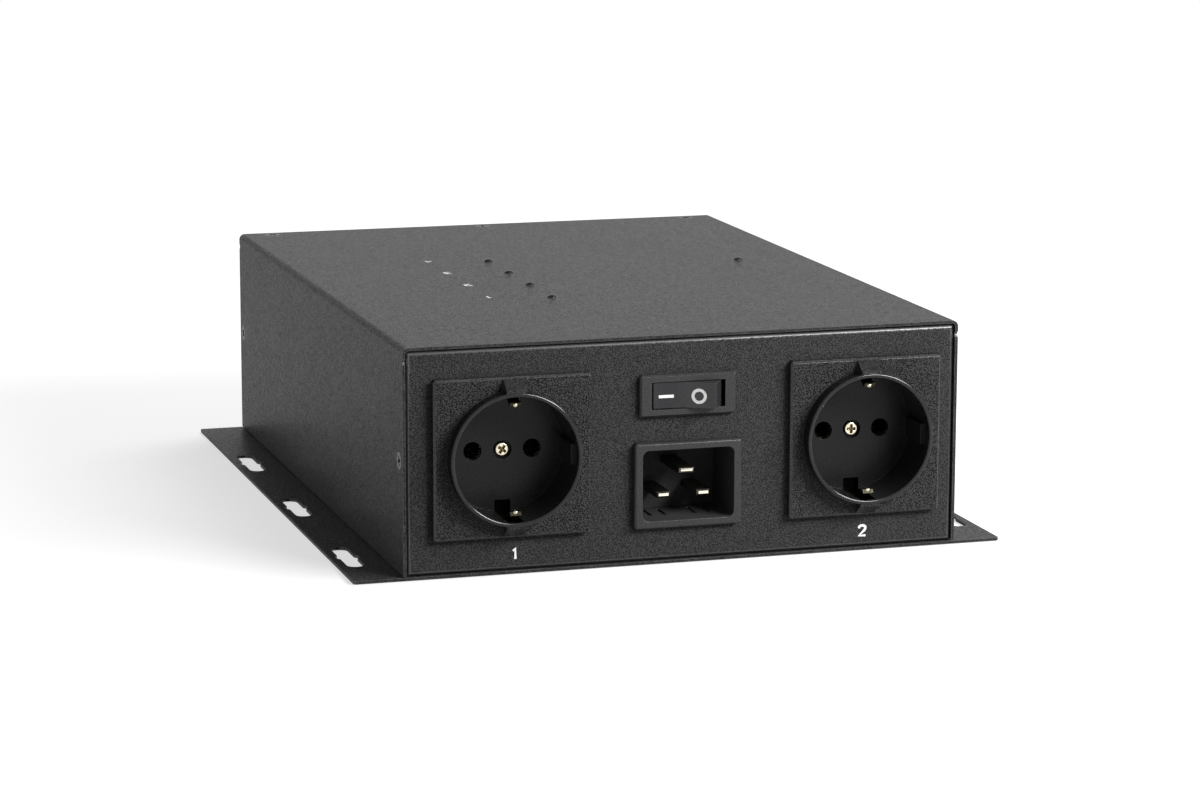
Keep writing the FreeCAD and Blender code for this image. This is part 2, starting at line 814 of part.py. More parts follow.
def make_earth_strap(label, spot):
    """One strip behind the well floor, turned forward through it into two bowed spring clips."""
    piece = Piece(label, **spot)
    metal = D.strap_thick
    outside = D.channel_outer - D.strap_play
    inside = outside - metal
    tip = -D.rim_stand + D.channel_cover + D.clip_tip
    bump = D.clip_bump
    knee = D.floor_thick
    upper = [
        (FLOOR_BACK + metal, outside),
        (knee - D.clip_lean, outside),
        (tip + D.clip_inner_rear, bump + metal),
        (tip + D.clip_inner_front, bump + metal),
        (tip + D.clip_lip, bump + metal * 2),
        (tip, bump + D.clip_lip_rise),
        (tip + D.clip_front, bump),
        (tip + D.clip_rear, bump),
        (knee, inside),
        (FLOOR_BACK, inside),
    ]
    lower = [(y, -z) for y, z in reversed(upper)]
    width = D.strap_width / 2
    piece.add("YZ", -width, width, Outline(*upper, *lower))
    piece.cut("XZ", FLOOR_BACK, FLOOR_BACK + metal, octagon(D.screw_hole / 2))
    keep(piece)


def make_contacts(label, spot):
    """Two sprung jaws that grip the plug's pins, standing on the cap."""
    gap, metal = D.jaw_gap / 2, D.jaw_metal
    mouth, waist = FLOOR_BACK + D.jaw_mouth, FLOOR_BACK + D.jaw_waist
    upper = [
        (mouth, gap + metal * 2),
        (mouth, gap + metal),
        (waist, gap),
        (D.body_depth - metal * 2, gap),
    ]
    outer = [
        (D.body_depth, gap + metal),
        (waist, gap + metal),
    ]
    inner_lower = [(y, -z) for y, z in reversed(upper)]
    outer_lower = [(y, -z) for y, z in reversed(outer)]
    outline = Outline(*upper, *inner_lower, *outer_lower, *outer)
    piece = Piece(label, **spot)
    piece.body.AllowCompound = True
    for x in (-PIN_X, PIN_X):
        piece.add("YZ", x - D.jaw_width / 2, x + D.jaw_width / 2, outline)
    keep(piece)


def make_centre_screw(label, spot):
    """The screw in the well floor that draws housing, strap and cap together."""
    piece = Piece(label, **spot)
    seat = D.well_floor + D.centre_seat
    piece.add("XZ", D.well_floor + D.centre_drop, seat, small_round(D.centre_head / 2))
    piece.add("XZ", D.well_floor + D.centre_seat / 2, D.body_depth + D.cap_thick, octagon(D.screw_shank / 2))
    keep(piece)


def make_outlets():
    """Four outlets: one and two on the near panel, three and four on the far one."""
    spots = [(D.outlet_left_x, False), (D.outlet_right_x, False)]
    spots = spots + [(D.outlet_left_x, True), (D.outlet_right_x, True)]
    for number, (x, far) in enumerate(spots, start=1):
        spot = on_panel(x, D.outlet_z, far)
        make_outlet_housing(f"socket_{number}_housing", spot)
        make_outlet_cap(f"socket_{number}_cap", spot)
        make_earth_strap(f"socket_{number}_earth_strap", spot)
        make_contacts(f"socket_{number}_contacts", spot)
        make_centre_screw(f"socket_{number}_screw", spot)


# Mains inlet

def make_inlet():
    """A snap-in frame with a deep mouth, and three blades fixed in its floor."""
    spot = on_panel(D.inlet_x, D.inlet_z, False)
    piece = Piece("inlet_housing", **spot)
    piece.add("XZ", 0, -D.inlet_stand, clipped(D.inlet_width, D.inlet_height, D.frame_corner))
    piece.ease("Chamfer", D.frame_edge, lambda box: box.YMax < -D.inlet_stand.value + NEAR)
    body = centred(D.inlet_body_width, D.inlet_body_height)
    piece.add("XZ", -D.inlet_stand / 2, D.inlet_body_depth, body)
    mouth = centred(D.inlet_mouth_width, D.inlet_mouth_height, D.mouth_corner)
    piece.cut("XZ", -D.inlet_stand, D.inlet_mouth_depth, mouth)
    sill, side = D.inlet_mouth_height / 2, D.mouth_groove_width / 2
    lines = [-D.mouth_groove_outer, -D.mouth_groove_inner, D.mouth_groove_inner, D.mouth_groove_outer]
    grooves = [rectangle(x - side, x + side, -sill - D.mouth_groove_depth, side - sill) for x in lines]
    piece.cut("XZ", D.mouth_groove_start, D.mouth_groove_end, *grooves)
    half = D.blade_spacing / 2
    blades = [
        ("inlet_line_pin", -half, D.blade_row_z, D.blade_tip, D.blade_width),
        ("inlet_neutral_pin", half, D.blade_row_z, D.blade_tip, D.blade_width),
        ("inlet_earth_pin", as_size(0), D.earth_blade_z, D.earth_blade_tip, D.earth_blade_width),
    ]
    slots = [centred(width, D.blade_thick, None, x, z) for _, x, z, _, width in blades]
    piece.cut("XZ", D.inlet_mouth_depth, D.inlet_body_depth, *slots)
    snap(piece, D.inlet_body_width / 2, D.snap_width)
    keep(piece)
    for blade in blades:
        make_blade(*blade)


def make_blade(label, x, z, tip, width):
    """A flat contact blade with a bevelled tip in front and a narrower tab behind."""
    spot = on_panel(D.inlet_x + x, D.inlet_z + z, False)
    piece = Piece(label, **spot)
    half, nose, root = width / 2, D.blade_nose, D.inlet_body_depth
    outline = Outline(
        (-half, tip + nose),
        (nose - half, tip),
        (half - nose, tip),
        (half, tip + nose),
        (half, root),
        (-half, root),
    )
    piece.add("XY", -D.blade_thick / 2, D.blade_thick / 2, outline)
    piece.ease("Chamfer", nose, lambda box: box.YMax < tip.value + NEAR and box.XLength > nose.value)
    tab = rectangle(-D.tab_width / 2, D.tab_width / 2, root - D.tab_root, D.tab_end)
    piece.add("XY", -D.tab_thick / 2, D.tab_thick / 2, tab)
    keep(piece)


# Rocker switch

WINDOW_LIP = 0.8
CONTACT_SIDE = 2.2
PLUNGER_ROOT = 0.4
PLUNGER_PLAY = 0.1
BEARING_PLAY = 0.05
CRADLE_PLAY = 0.06
TERMINAL_ROOT = 0.6
CONTACT_THICK = 0.4
SWITCH_TAB_END = D.tab_end - D.switch_tab_inset


def make_switch():
    """Housing, rocker with its plunger, contact lever and two terminals."""
    spot = on_panel(D.switch_x, D.switch_z, False)
    make_switch_housing(spot)
    make_rocker()
    make_lever()
    make_terminals(spot)


def make_switch_housing(spot):
    """Bezel and box: a window that widens behind its lip, bearings for the rocker and tab slots."""
    piece = Piece("switch_housing", **spot)
    piece.add("XZ", 0, -D.bezel_stand, clipped(D.bezel_width, D.bezel_height, D.frame_corner))
    piece.ease("Chamfer", D.frame_edge, lambda box: box.YMax < -D.bezel_stand.value + NEAR)
    body = centred(D.switch_body_width, D.switch_body_height)
    piece.add("XZ", -D.bezel_stand / 2, D.switch_body_depth, body)
    window = centred(D.rocker_window, D.rocker_window_height)
    piece.cut("XZ", -D.bezel_stand, -D.bezel_stand + WINDOW_LIP, window)
    room = centred(D.switch_body_width - D.switch_wall * 1.5, D.rocker_window_height)
    back = D.switch_body_depth - D.switch_wall
    piece.cut("XZ", -D.bezel_stand + WINDOW_LIP, back, room)
    bearing = Circle(0, D.rocker_pivot_y, D.trunnion_radius + BEARING_PLAY)
    depth = D.rocker_height / 2 + D.trunnion_reach + BEARING_PLAY * 2
    piece.cut("XY", depth, -depth, bearing)
    metal, height = D.terminal_thick, D.terminal_width
    slots = [centred(metal, height, None, x) for x in (0, D.throw_x)]
    piece.cut("XZ", back, D.switch_body_depth, *slots)
    snap(piece, D.switch_body_width / 2, D.switch_snap_width)
    keep(piece)


def make_rocker():
    """Two pressing faces that meet in a shallow ridge, on trunnions; the I end is pressed at rest."""
    spot = on_panel(D.switch_x, D.switch_z, False, D.rocker_pivot_y)
    tilt = {"where": spot["where"], "axis": (0, 0, -1), "angle": D.rocker_tilt}
    piece = Piece("switch_rocker", **tilt)
    right = [
        (D.rocker_tip_x, -D.rocker_tip_y),
        (D.rocker_foot_x, -D.rocker_foot_y),
        (D.rocker_heel_x, D.rocker_heel_y),
        (D.rocker_hub_x, D.rocker_hub_y),
        (D.rocker_stem_x, D.rocker_stem_y),
    ]
    left = [(-x, y) for x, y in reversed(right)]
    half = D.rocker_height / 2
    piece.add("XY", -half, half, Outline((0, -D.rocker_ridge), *right, *left))
    reach = half + D.trunnion_reach
    piece.add("XY", -reach, reach, Circle(0, 0, D.trunnion_radius))
    bore = D.plunger_side + PLUNGER_PLAY
    piece.cut("XZ", D.rocker_stem_y, PLUNGER_ROOT, centred(bore, bore))
    keep(piece)
    make_plunger(tilt)


def make_plunger(tilt):
    """The square pin under the rocker that bears on the contact lever."""
    piece = Piece("switch_plunger", **tilt)
    side, nose, reach = D.plunger_side / 2, D.plunger_nose, D.plunger_reach
    outline = Outline(
        (-side, PLUNGER_ROOT),
        (side, PLUNGER_ROOT),
        (side, reach - nose),
        (side - nose, reach),
        (nose - side, reach),
        (-side, reach - nose),
    )
    piece.add("XY", -side, side, outline)
    keep(piece)


def make_lever():
    """The rocking strip that closes the circuit, with its contact button and its pivot bead."""
    spot = on_panel(D.switch_x, D.switch_z, False, D.lever_pivot_y)
    piece = Piece("switch_contact_lever", spot["where"], (0, 0, 1), D.lever_tilt)
    metal, half = D.lever_metal, D.lever_width / 2
    piece.add("XY", -half, half, rectangle(-D.lever_half, D.lever_half, -metal * 2, -metal))
    neck, core = D.lever_neck / 2, metal * 1.5
    piece.add("XY", -half, half, rectangle(-neck, neck, -core, 0))
    piece.add("XY", -half, half, Circle(0, 0, metal))
    button = as_size(CONTACT_SIDE)
    piece.add("XZ", -core, 0, centred(button, button, None, D.throw_x))
    keep(piece)


def make_terminals(spot):
    """The common terminal with the lever's cradle, and the throw terminal with its contact."""
    back = D.switch_body_depth - D.switch_wall
    common = Piece("switch_common_terminal", **spot)
    cradle = centred(D.cradle_width, D.cradle_depth, None, 0, D.lever_pivot_y + D.cradle_drop)
    half = D.lever_width / 2
    common.add("XY", -half, half, cradle)
    groove = Circle(0, D.lever_pivot_y, D.lever_metal + CRADLE_PLAY)
    common.cut("XY", half, -half, groove)
    tab, edge = D.terminal_width / 2, D.terminal_thick / 2
    common.add("XY", -tab, tab, rectangle(-edge, edge, back - TERMINAL_ROOT, SWITCH_TAB_END))
    keep(common)
    throw = Piece("switch_throw_terminal", **spot)
    left, right = D.throw_x - edge, D.throw_x + edge
    throw.add("XY", -tab, tab, rectangle(left, right, back - CONTACT_THICK, SWITCH_TAB_END))
    button = as_size(CONTACT_SIDE)
    throw.add("XZ", back, back - CONTACT_THICK, centred(button, button, None, D.throw_x))
    keep(throw)


# Lamps

def make_lamps():
    """Five snap-in lamps: a round lens through the cover and a square body under it."""
    for number, (x, y) in enumerate(LAMPS, start=1):
        label = f"outlet_lamp_{number}" if number < len(LAMPS) else "link_lamp"
        piece = Piece(label, (x, y, D.case_height))
        piece.add("XY", -D.sheet, -D.lamp_length, centred(D.lamp_body, D.lamp_body))
        piece.add("XY", -D.sheet, D.lamp_stand, small_round(D.lamp_radius))
        keep(piece)


# Relay board

BOARD_FOOT = D.sheet + D.pillar_height
BOARD_TOP = BOARD_FOOT + D.board_thick
JACK_FOOT = BOARD_TOP
WIRE_Z = D.outlet_z - D.wire_row_drop
OUTLET_X = [D.outlet_left_x, D.outlet_right_x, -D.outlet_left_x, -D.outlet_right_x]


def make_board():
    """The circuit board on four snap-in supports."""
    piece = Piece("control_board", (0, 0, BOARD_FOOT))
    edge = rectangle(D.board_left, D.board_right, D.board_near, D.board_far)
    piece.add("XY", 0, D.board_thick, edge)
    holes = [centred(D.pillar_hole, D.pillar_hole, None, x, y) for x, y in PILLARS]
    piece.cut("XY", D.board_thick, 0, *holes)
    keep(piece)
    supports = several("board_supports", (0, 0, D.sheet))
    feet = [centred(D.pillar_side, D.pillar_side, None, x, y) for x, y in PILLARS]
    supports.add("XY", 0, D.pillar_height, *feet)
    top = D.pillar_height + D.board_thick + D.pillar_snap
    pins = [centred(D.pillar_pin, D.pillar_pin, None, x, y) for x, y in PILLARS]
    supports.add("XY", D.pillar_height / 2, top, *pins)
    keep(supports)


def make_board_parts():
    """Relays, supply module, controller, terminal blocks and the network jack."""
    for number in range(4):
        where = (D.relay_x, D.relay_first_y + D.relay_pitch * number, BOARD_TOP)
        shell = centred(D.relay_length, D.relay_width)
        keep(plain(f"relay_{number + 1}", where, shell, D.relay_height, D.relay_edge))
    supply = centred(D.supply_length, D.supply_width)
    supply_spot = (D.supply_x, D.supply_y, BOARD_TOP)
    keep(plain("supply_module", supply_spot, supply, D.supply_height, D.supply_edge))
    chip = centred(D.chip_side, D.chip_side)
    keep(plain("controller_chip", (D.chip_x, D.chip_y, BOARD_TOP), chip, D.chip_height, D.chip_edge))
    make_blocks()
    make_jack()


def make_blocks():
    """Five screw terminal blocks: a stepped profile with a square entry for each wire."""
    block = Piece("terminal_block")
    width, depth, height = D.block_width, D.block_depth, D.block_height
    profile = Outline(
        (0, 0),
        (depth, 0),
        (depth, height - D.block_step),
        (depth - D.block_ledge, height - D.block_step),
        (depth - D.block_crown, height),
        (0, height),
    )
    block.add("YZ", -width / 2, width / 2, profile)
    level = WIRE_Z - BOARD_TOP
    side = D.wire_entry
    block.cut("XZ", 0, depth / 2, *[centred(side, side, None, x, level) for x in WIRE_X])
    near = [(D.outlet_left_x, D.board_near), (D.outlet_right_x, D.board_near), (D.inlet_x, D.board_near)]
    far = [(-D.outlet_left_x, D.far_block_y), (-D.outlet_right_x, D.far_block_y)]
    places = [((x, y, BOARD_TOP), 0) for x, y in near] + [((x, y, BOARD_TOP), HALF_TURN) for x, y in far]
    copies("terminal_blocks", block, places, (0, 0, 1))


def make_jack():
    """The shielded network jack on the board's far edge: a box with a keyed mouth in the far panel."""
    piece = Piece("network_jack", **on_panel(as_size(0), JACK_FOOT, True))
    half, height = D.jack_width / 2, D.jack_height
    piece.add("XZ", 0, D.jack_depth, rectangle(-half, half, 0, height))
    side, low = D.jack_mouth_width / 2, D.jack_sill
    key, tab = D.jack_key_width / 2, D.jack_key_depth
    mouth = Outline(
        (-side, low),
        (-key, low),
        (-key, low - tab),
        (key, low - tab),
        (key, low),
        (side, low),
        (side, low + D.jack_mouth_height),
        (-side, low + D.jack_mouth_height),
    )
    piece.cut("XZ", 0, D.jack_mouth_depth, mouth)
    keep(piece)


def make_earth_tab():
    """A folded spade tab welded to the base plate, where the earth lead ends."""
    piece = Piece("earth_tab", (D.earth_tab_x, D.earth_tab_y, D.sheet))
    metal, foot = D.earth_tab_thick, D.earth_tab_foot
    half = metal / 2
    outline = Outline(
        (-half, 0),
        (foot, 0),
        (foot, metal),
        (half, metal),
        (half, D.earth_tab_height),
        (-half, D.earth_tab_height),
    )
    piece.add("XZ", -D.earth_tab_width / 2, D.earth_tab_width / 2, outline)
    keep(piece)


# Wires

TAB_Y = -FACE_Y + D.tab_end
SWITCH_TAB_Y = TAB_Y - D.switch_tab_inset
WIRE_GRIP = D.block_depth / 2


def outlet_cores(piece, column):
    """One straight core from each outlet's lid to its terminal block."""
    lid = FACE_Y - D.body_depth
    near = [octagon(D.wire_radius, x + WIRE_X[column], WIRE_Z) for x in OUTLET_X[:2]]
    far = [octagon(D.wire_radius, x - WIRE_X[column], WIRE_Z) for x in OUTLET_X[2:]]
    piece.add("XZ", -lid, D.board_near + WIRE_GRIP, *near)
    piece.add("XZ", lid, D.far_block_y - WIRE_GRIP, *far)


def bent_lead(label, points):
    """A lead along straight runs that meet in mitred corners."""
    path = doc.addObject("Part::Polygon", f"{label}_path")
    path.Nodes = [FreeCAD.Vector(*[as_size(part).value for part in spot]) for spot in points]
    section = doc.addObject("Part::RegularPolygon", f"{label}_section")
    section.Polygon = 8
    bind(section, "Circumradius", D.wire_radius)
    heading = path.Nodes[1] - path.Nodes[0]
    turn = FreeCAD.Rotation(FreeCAD.Vector(0, 0, 1), heading)
    section.Placement = FreeCAD.Placement(path.Nodes[0], turn)
    lead = doc.addObject("Part::Sweep", label)
    lead.Label = label
    lead.Sections = [section]
    lead.Spine = (path, [f"Edge{number}" for number in range(1, len(points))])
    lead.Solid = True
    lead.Transition = "Right corner"
    keep(lead)


def make_wires():
    """Line, neutral and earth cores to the outlets, the leads of inlet and switch, the lamp leads."""
    for column, label in enumerate(("line_wires", "neutral_wires", "earth_wires")):
        piece = several(label)
        outlet_cores(piece, column)
        if label == "neutral_wires":
            straight = octagon(D.wire_radius, D.inlet_x + D.wire_pitch, WIRE_Z)
            piece.add("XZ", TAB_Y, D.board_near + WIRE_GRIP, straight)
        keep(piece)
    line_x, throw_x = D.inlet_x - D.blade_spacing / 2, D.switch_x + D.throw_x
    rise, drop = TAB_Y + D.lead_rise, D.board_near - D.lead_drop
    to_switch = [
        (line_x, TAB_Y, WIRE_Z),
        (line_x, rise, WIRE_Z),
        (D.switch_x, rise, D.switch_z),
        (D.switch_x, SWITCH_TAB_Y, D.switch_z),
    ]
    bent_lead("inlet_line_lead", to_switch)
    to_block = [
        (throw_x, SWITCH_TAB_Y, D.switch_z),
        (throw_x, rise + D.lead_offset, D.switch_z),
        (line_x, drop, WIRE_Z),
        (line_x, D.board_near + WIRE_GRIP, WIRE_Z),
    ]
    bent_lead("switch_line_lead", to_block)
    earth_z = D.inlet_z + D.earth_blade_z
    tab_top = D.sheet + D.earth_tab_height
    to_earth = [
        (D.inlet_x, TAB_Y, earth_z),
        (D.inlet_x, rise, earth_z),
        (D.earth_tab_x, D.earth_tab_y, tab_top + D.lead_offset),
        (D.earth_tab_x, D.earth_tab_y, tab_top),
    ]
    bent_lead("inlet_earth_lead", to_earth)
    leads = several("lamp_leads")
    stop = D.case_height - D.lamp_length
    leads.add("XY", BOARD_TOP, stop, *[octagon(D.lamp_lead, x, y) for x, y in LAMPS])
    keep(leads)


def build():
    """Model every piece, then prove and write them."""
    make_base_plate()
    make_cover()
    make_panels()
    make_case_screws()
    make_outlets()
    make_inlet()
    make_switch()
    make_lamps()
    make_board()
    make_board_parts()
    make_earth_tab()
    make_wires()
    doc.recompute()


def prove():
    """Stop if any object failed or any piece isn't a whole closed solid."""
    for thing in doc.Objects:
        if "Invalid" in thing.State or "Error" in thing.State:
            raise RuntimeError(f"{thing.Label} failed: {thing.State}")
    for node in nodes:
        if node.Shape.isNull() or not node.Shape.isValid() or not node.Shape.Solids:
            raise RuntimeError(f"{node.Label} has no valid solid")


def write():
    """Write each piece to a file of its own."""
    os.makedirs("parts", exist_ok=True)
    for node in nodes:
        node.Shape.exportStep(f"parts/{node.Label}.step")


build()
prove()
write()
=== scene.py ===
"""Looks of the power distribution unit: powder-coated case, outlets, inlet, switch, lamps and legends."""

import logging
import math
from dataclasses import dataclass, field, replace
from enum import Enum

import bmesh
import bpy
import numpy as np
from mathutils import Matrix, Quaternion, Vector


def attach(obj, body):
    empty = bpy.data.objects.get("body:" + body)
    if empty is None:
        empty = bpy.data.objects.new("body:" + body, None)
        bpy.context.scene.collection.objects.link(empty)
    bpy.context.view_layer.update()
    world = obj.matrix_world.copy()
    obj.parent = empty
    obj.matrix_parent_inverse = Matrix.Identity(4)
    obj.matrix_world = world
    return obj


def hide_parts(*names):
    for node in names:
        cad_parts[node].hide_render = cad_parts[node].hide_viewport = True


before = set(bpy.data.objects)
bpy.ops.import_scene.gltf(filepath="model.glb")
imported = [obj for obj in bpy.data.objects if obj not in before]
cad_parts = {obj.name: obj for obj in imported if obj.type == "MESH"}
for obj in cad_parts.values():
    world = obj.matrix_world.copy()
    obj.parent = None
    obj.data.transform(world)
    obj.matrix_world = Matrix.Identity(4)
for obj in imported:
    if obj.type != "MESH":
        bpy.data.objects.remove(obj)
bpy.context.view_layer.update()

LOG = logging.getLogger("power_distribution_unit")
MM = 0.001
CASE_BODY = "case"
ROCKER_BODY = "rocker"
NODES: dict[str, bpy.types.Object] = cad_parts
Pair = tuple[float, float]
Triple = tuple[float, float, float]
Floats = tuple[float, ...]
Names = tuple[str, ...]
Socket = bpy.types.NodeSocket
WHITE = (1.0, 1.0, 1.0, 1.0)
UNIT: Pair = (0.0, 1.0)

# Outer faces of the case in millimetres: its top, and both panels' distance from the middle
CASE_TOP = 72.0
PANEL_FACE = 121.45

# Patterns: features per metre and octaves of finer noise
BROAD_PATCHES: Pair = (22.0, 2.0)
WORN_PATCHES: Pair = (160.0, 3.0)
FLECKS: Pair = (950.0, 1.0)
GRAIN_OCTAVES = 1.0

# Spans of noise that carry the contrast, and shares of it
BROAD_SPAN: Pair = (0.3, 0.7)
MIDDLE_SPAN: Pair = (0.35, 0.65)
LEAST_WEAR = 0.3
FINE_SHARE = 0.9
MID_LEVEL = 0.5

# Edges lightened partly as wear and partly as painted highlight, and rounded edges: reach in millimetres, and
# spans of the cosine between two directions
EDGE_REACH = 0.5
EDGE_SAMPLES = 6
EDGE_TURN: Pair = (0.985, 0.85)
TURNING_SPANS: tuple[Pair, Pair] = ((0.99, 0.95), (0.1, 0.3))

# Meshing: distances in metres, angles in degrees
SEAM = 1e-7
SLIVER = 1e-8
WELD_REACH = 2e-6
FLAT_ANGLE = 0.5
SHARP_ANGLE = 38.0
EASED_ANGLE = 40.0
EASED_STEPS = 3
BEND_STEPS = 5
FACE_WEIGHT = 100

# Numbers of the first value's input and of the output when a node mixes colours or plain values
MIX_COLOR = (6, 2)
MIX_VALUE = (2, 0)


class Slot(Enum):
    """Names of material slots that calls pass with new pieces; nothing in this script reads them."""

    SCREW = "black_screw"
    BRIGHT_SCREW = "bright_screw"
    LENS = "lamp_lens"
    PAINT = "case_paint"
    ROCKER = "rocker_plastic"
    CONTACT = "contact_metal"
    SPRING = "spring_metal"


# Finishes


@dataclass
class Nodes:
    """A node tree, with short ways to add and join its nodes."""

    tree: bpy.types.NodeTree

    def add(self, kind: str, source: Socket | None = None, **settings: object) -> bpy.types.Node:
        """Add a node and set its properties.

        Args:
            kind: type name of the node.
            source: what feeds its first input, if anything does.
            settings: properties of the node.

        Returns:
            The new node.
        """
        node = self.tree.nodes.new(kind)
        for name, value in settings.items():
            setattr(node, name, value)
        if source is not None:
            self.link(source, node.inputs[0])
        return node

    def link(self, source: Socket, target: Socket) -> None:
        """Join an output to an input."""
        self.tree.links.new(source, target)

    def spread(self, source: Socket, span: Pair, results: Pair = UNIT) -> Socket:
        """Map a span of a pattern onto a span of values.

        Args:
            source: the pattern.
            span: pattern values that give the first and the last result.
            results: the first and the last result.

        Returns:
            The mapped pattern.
        """
        node = self.add("ShaderNodeMapRange", source)
        for name, value in zip(("From Min", "From Max", "To Min", "To Max"), (*span, *results)):
            node.inputs[name].default_value = value
        return node.outputs["Result"]

    def mask(self, length: Socket, off: float, on: float) -> Socket:
        """Mask from 0 to 1 over a span of a length, the span in millimetres."""
        return self.spread(length, (off * MM, on * MM))

    def join(self, operation: str, *patterns: Socket) -> Socket:
        """Patterns joined one after another by an arithmetic operation.

        Args:
            operation: type name of the operation.
            patterns: two patterns or more.

        Returns:
            The joined pattern.
        """
        joined, *others = patterns
        for other in others:
            node = self.add("ShaderNodeMath", joined, operation=operation)
            self.link(other, node.inputs[1])
            joined = node.outputs[0]
        return joined

    def every(self, *masks: Socket) -> Socket:
        """Where all masks hold: their product."""
        return self.join("MULTIPLY", *masks)

    def vector(self, operation: str, one: Socket, other: Socket | Triple | None = None) -> Socket:
        """A vector worked out from another.

        Args:
            operation: type name of the operation.
            one: first vector.
            other: second vector or factor, where the operation needs one.

        Returns:
            The new vector, or a number from an operation that gives one.
        """
        node = self.add("ShaderNodeVectorMath", one, operation=operation)
        second = node.inputs["Scale"] if operation == "SCALE" else node.inputs[1]
        if isinstance(other, tuple):
            second.default_value = other
        elif other is not None:
            self.link(other, second)
        return node.outputs["Value" if operation in ("DOT_PRODUCT", "LENGTH") else "Vector"]

    def parts(self, vector: Socket) -> tuple[Socket, Socket, Socket]:
        """The x, y and z of a vector."""
        return tuple(self.add("ShaderNodeSeparateXYZ", vector).outputs)


class NodeGraph(Nodes):
    """The node tree of one material, with its shader ready to wire."""

    def __init__(self, name: str) -> None:
        """Start a material with a principled shader.

        Args:
            name: name of the material.
        """
        self.material = bpy.data.materials.new(name)
        self.material.use_nodes = True
        super().__init__(self.material.node_tree)
        self.shader = self.tree.nodes["Principled BSDF"]
        self.output = self.tree.nodes["Material Output"]
        coordinates = self.add("ShaderNodeTexCoord")
        self.place = coordinates.outputs["Object"]
        self.facing = coordinates.outputs["Normal"]

    def noise(self, scale: float, detail: float) -> Socket:
        """A noise pattern on object coordinates.

        Args:
            scale: features per metre.
            detail: octaves of finer noise.

        Returns:
            The pattern, from 0 to 1.
        """
        node = self.add("ShaderNodeTexNoise", self.place)
        node.inputs["Scale"].default_value = scale
        node.inputs["Detail"].default_value = detail
        return node.outputs["Fac"]

    def mix(self, factor: Socket, under: Socket, over: Triple | float) -> Socket:
        """A colour or a value drawn to another where a mask says so.

        Args:
            factor: mask from 0 to 1.
            under: the colour or value outside the mask.
            over: the linear colour or the value inside it.

        Returns:
            The mixed colour or value.
        """
        color = isinstance(over, tuple)
        node = self.add("ShaderNodeMix", factor, data_type="RGBA" if color else "FLOAT")
        first, result = MIX_COLOR if color else MIX_VALUE
        self.link(under, node.inputs[first])
        node.inputs[first + 1].default_value = (*over, 1.0) if color else over
        return node.outputs[result]

    def from_point(self, centre: Triple) -> Socket:
        """The vector in metres from a point given in millimetres."""
        return self.vector("SUBTRACT", self.place, tuple(part * MM for part in centre))

    def offset(self, centre: Triple) -> tuple[Socket, Socket, Socket]:
        """Distances in metres along x, y and z from a point in millimetres, without their signs."""
        return self.parts(self.vector("ABSOLUTE", self.from_point(centre)))

    def edges(self) -> Socket:
        """Where the surface turns: a rounded normal compared with the plain one.

        Returns:
            Mask from 0 on a flat to 1 on an edge.
        """
        rounded = self.add("ShaderNodeBevel", samples=EDGE_SAMPLES)
        rounded.inputs["Radius"].default_value = EDGE_REACH * MM
        plain = self.add("ShaderNodeNewGeometry")
        turn = self.vector("DOT_PRODUCT", rounded.outputs["Normal"], plain.outputs["Normal"])
        return self.spread(turn, EDGE_TURN)

    def turning(self) -> Socket:
        """Mask, 1 on a rounded edge where the surface turns from facing along y to facing across it."""
        facing = self.parts(self.vector("ABSOLUTE", self.facing))[1]
        return self.every(*(self.spread(facing, span) for span in TURNING_SPANS))


def about(middle: float, reach: float) -> Pair:
    """The span from a reach below a middle to as far above it."""
    return middle - reach, middle + reach


@dataclass(frozen=True)
class Grain:
    """A grain: fineness, relief, mottling, softness of its spots, fine and coarse mottling of the gloss."""

    per_metre: float
    relief: float
    mottling: float
    softness: float = 0.2
    sparkle: float = 0.15
    flecks: float = 0.0


@dataclass
class Layers:
    """The patterns that a finish lays on its shader."""

    color: Socket
    rough: Socket
    height: Socket
    gloss: Socket
    rounding: Socket | None = None

    def polish(self, graph: NodeGraph, mask: Socket, gloss: float, roughness: float) -> None:
        """Give a masked place its own gloss and roughness."""
        self.gloss = graph.mix(mask, self.gloss, gloss)
        self.rough = graph.mix(mask, self.rough, roughness)

    def flatten(self, graph: NodeGraph, mask: Socket) -> None:
        """Take the grain's relief off a masked place."""
        self.height = graph.mix(mask, self.height, MID_LEVEL)


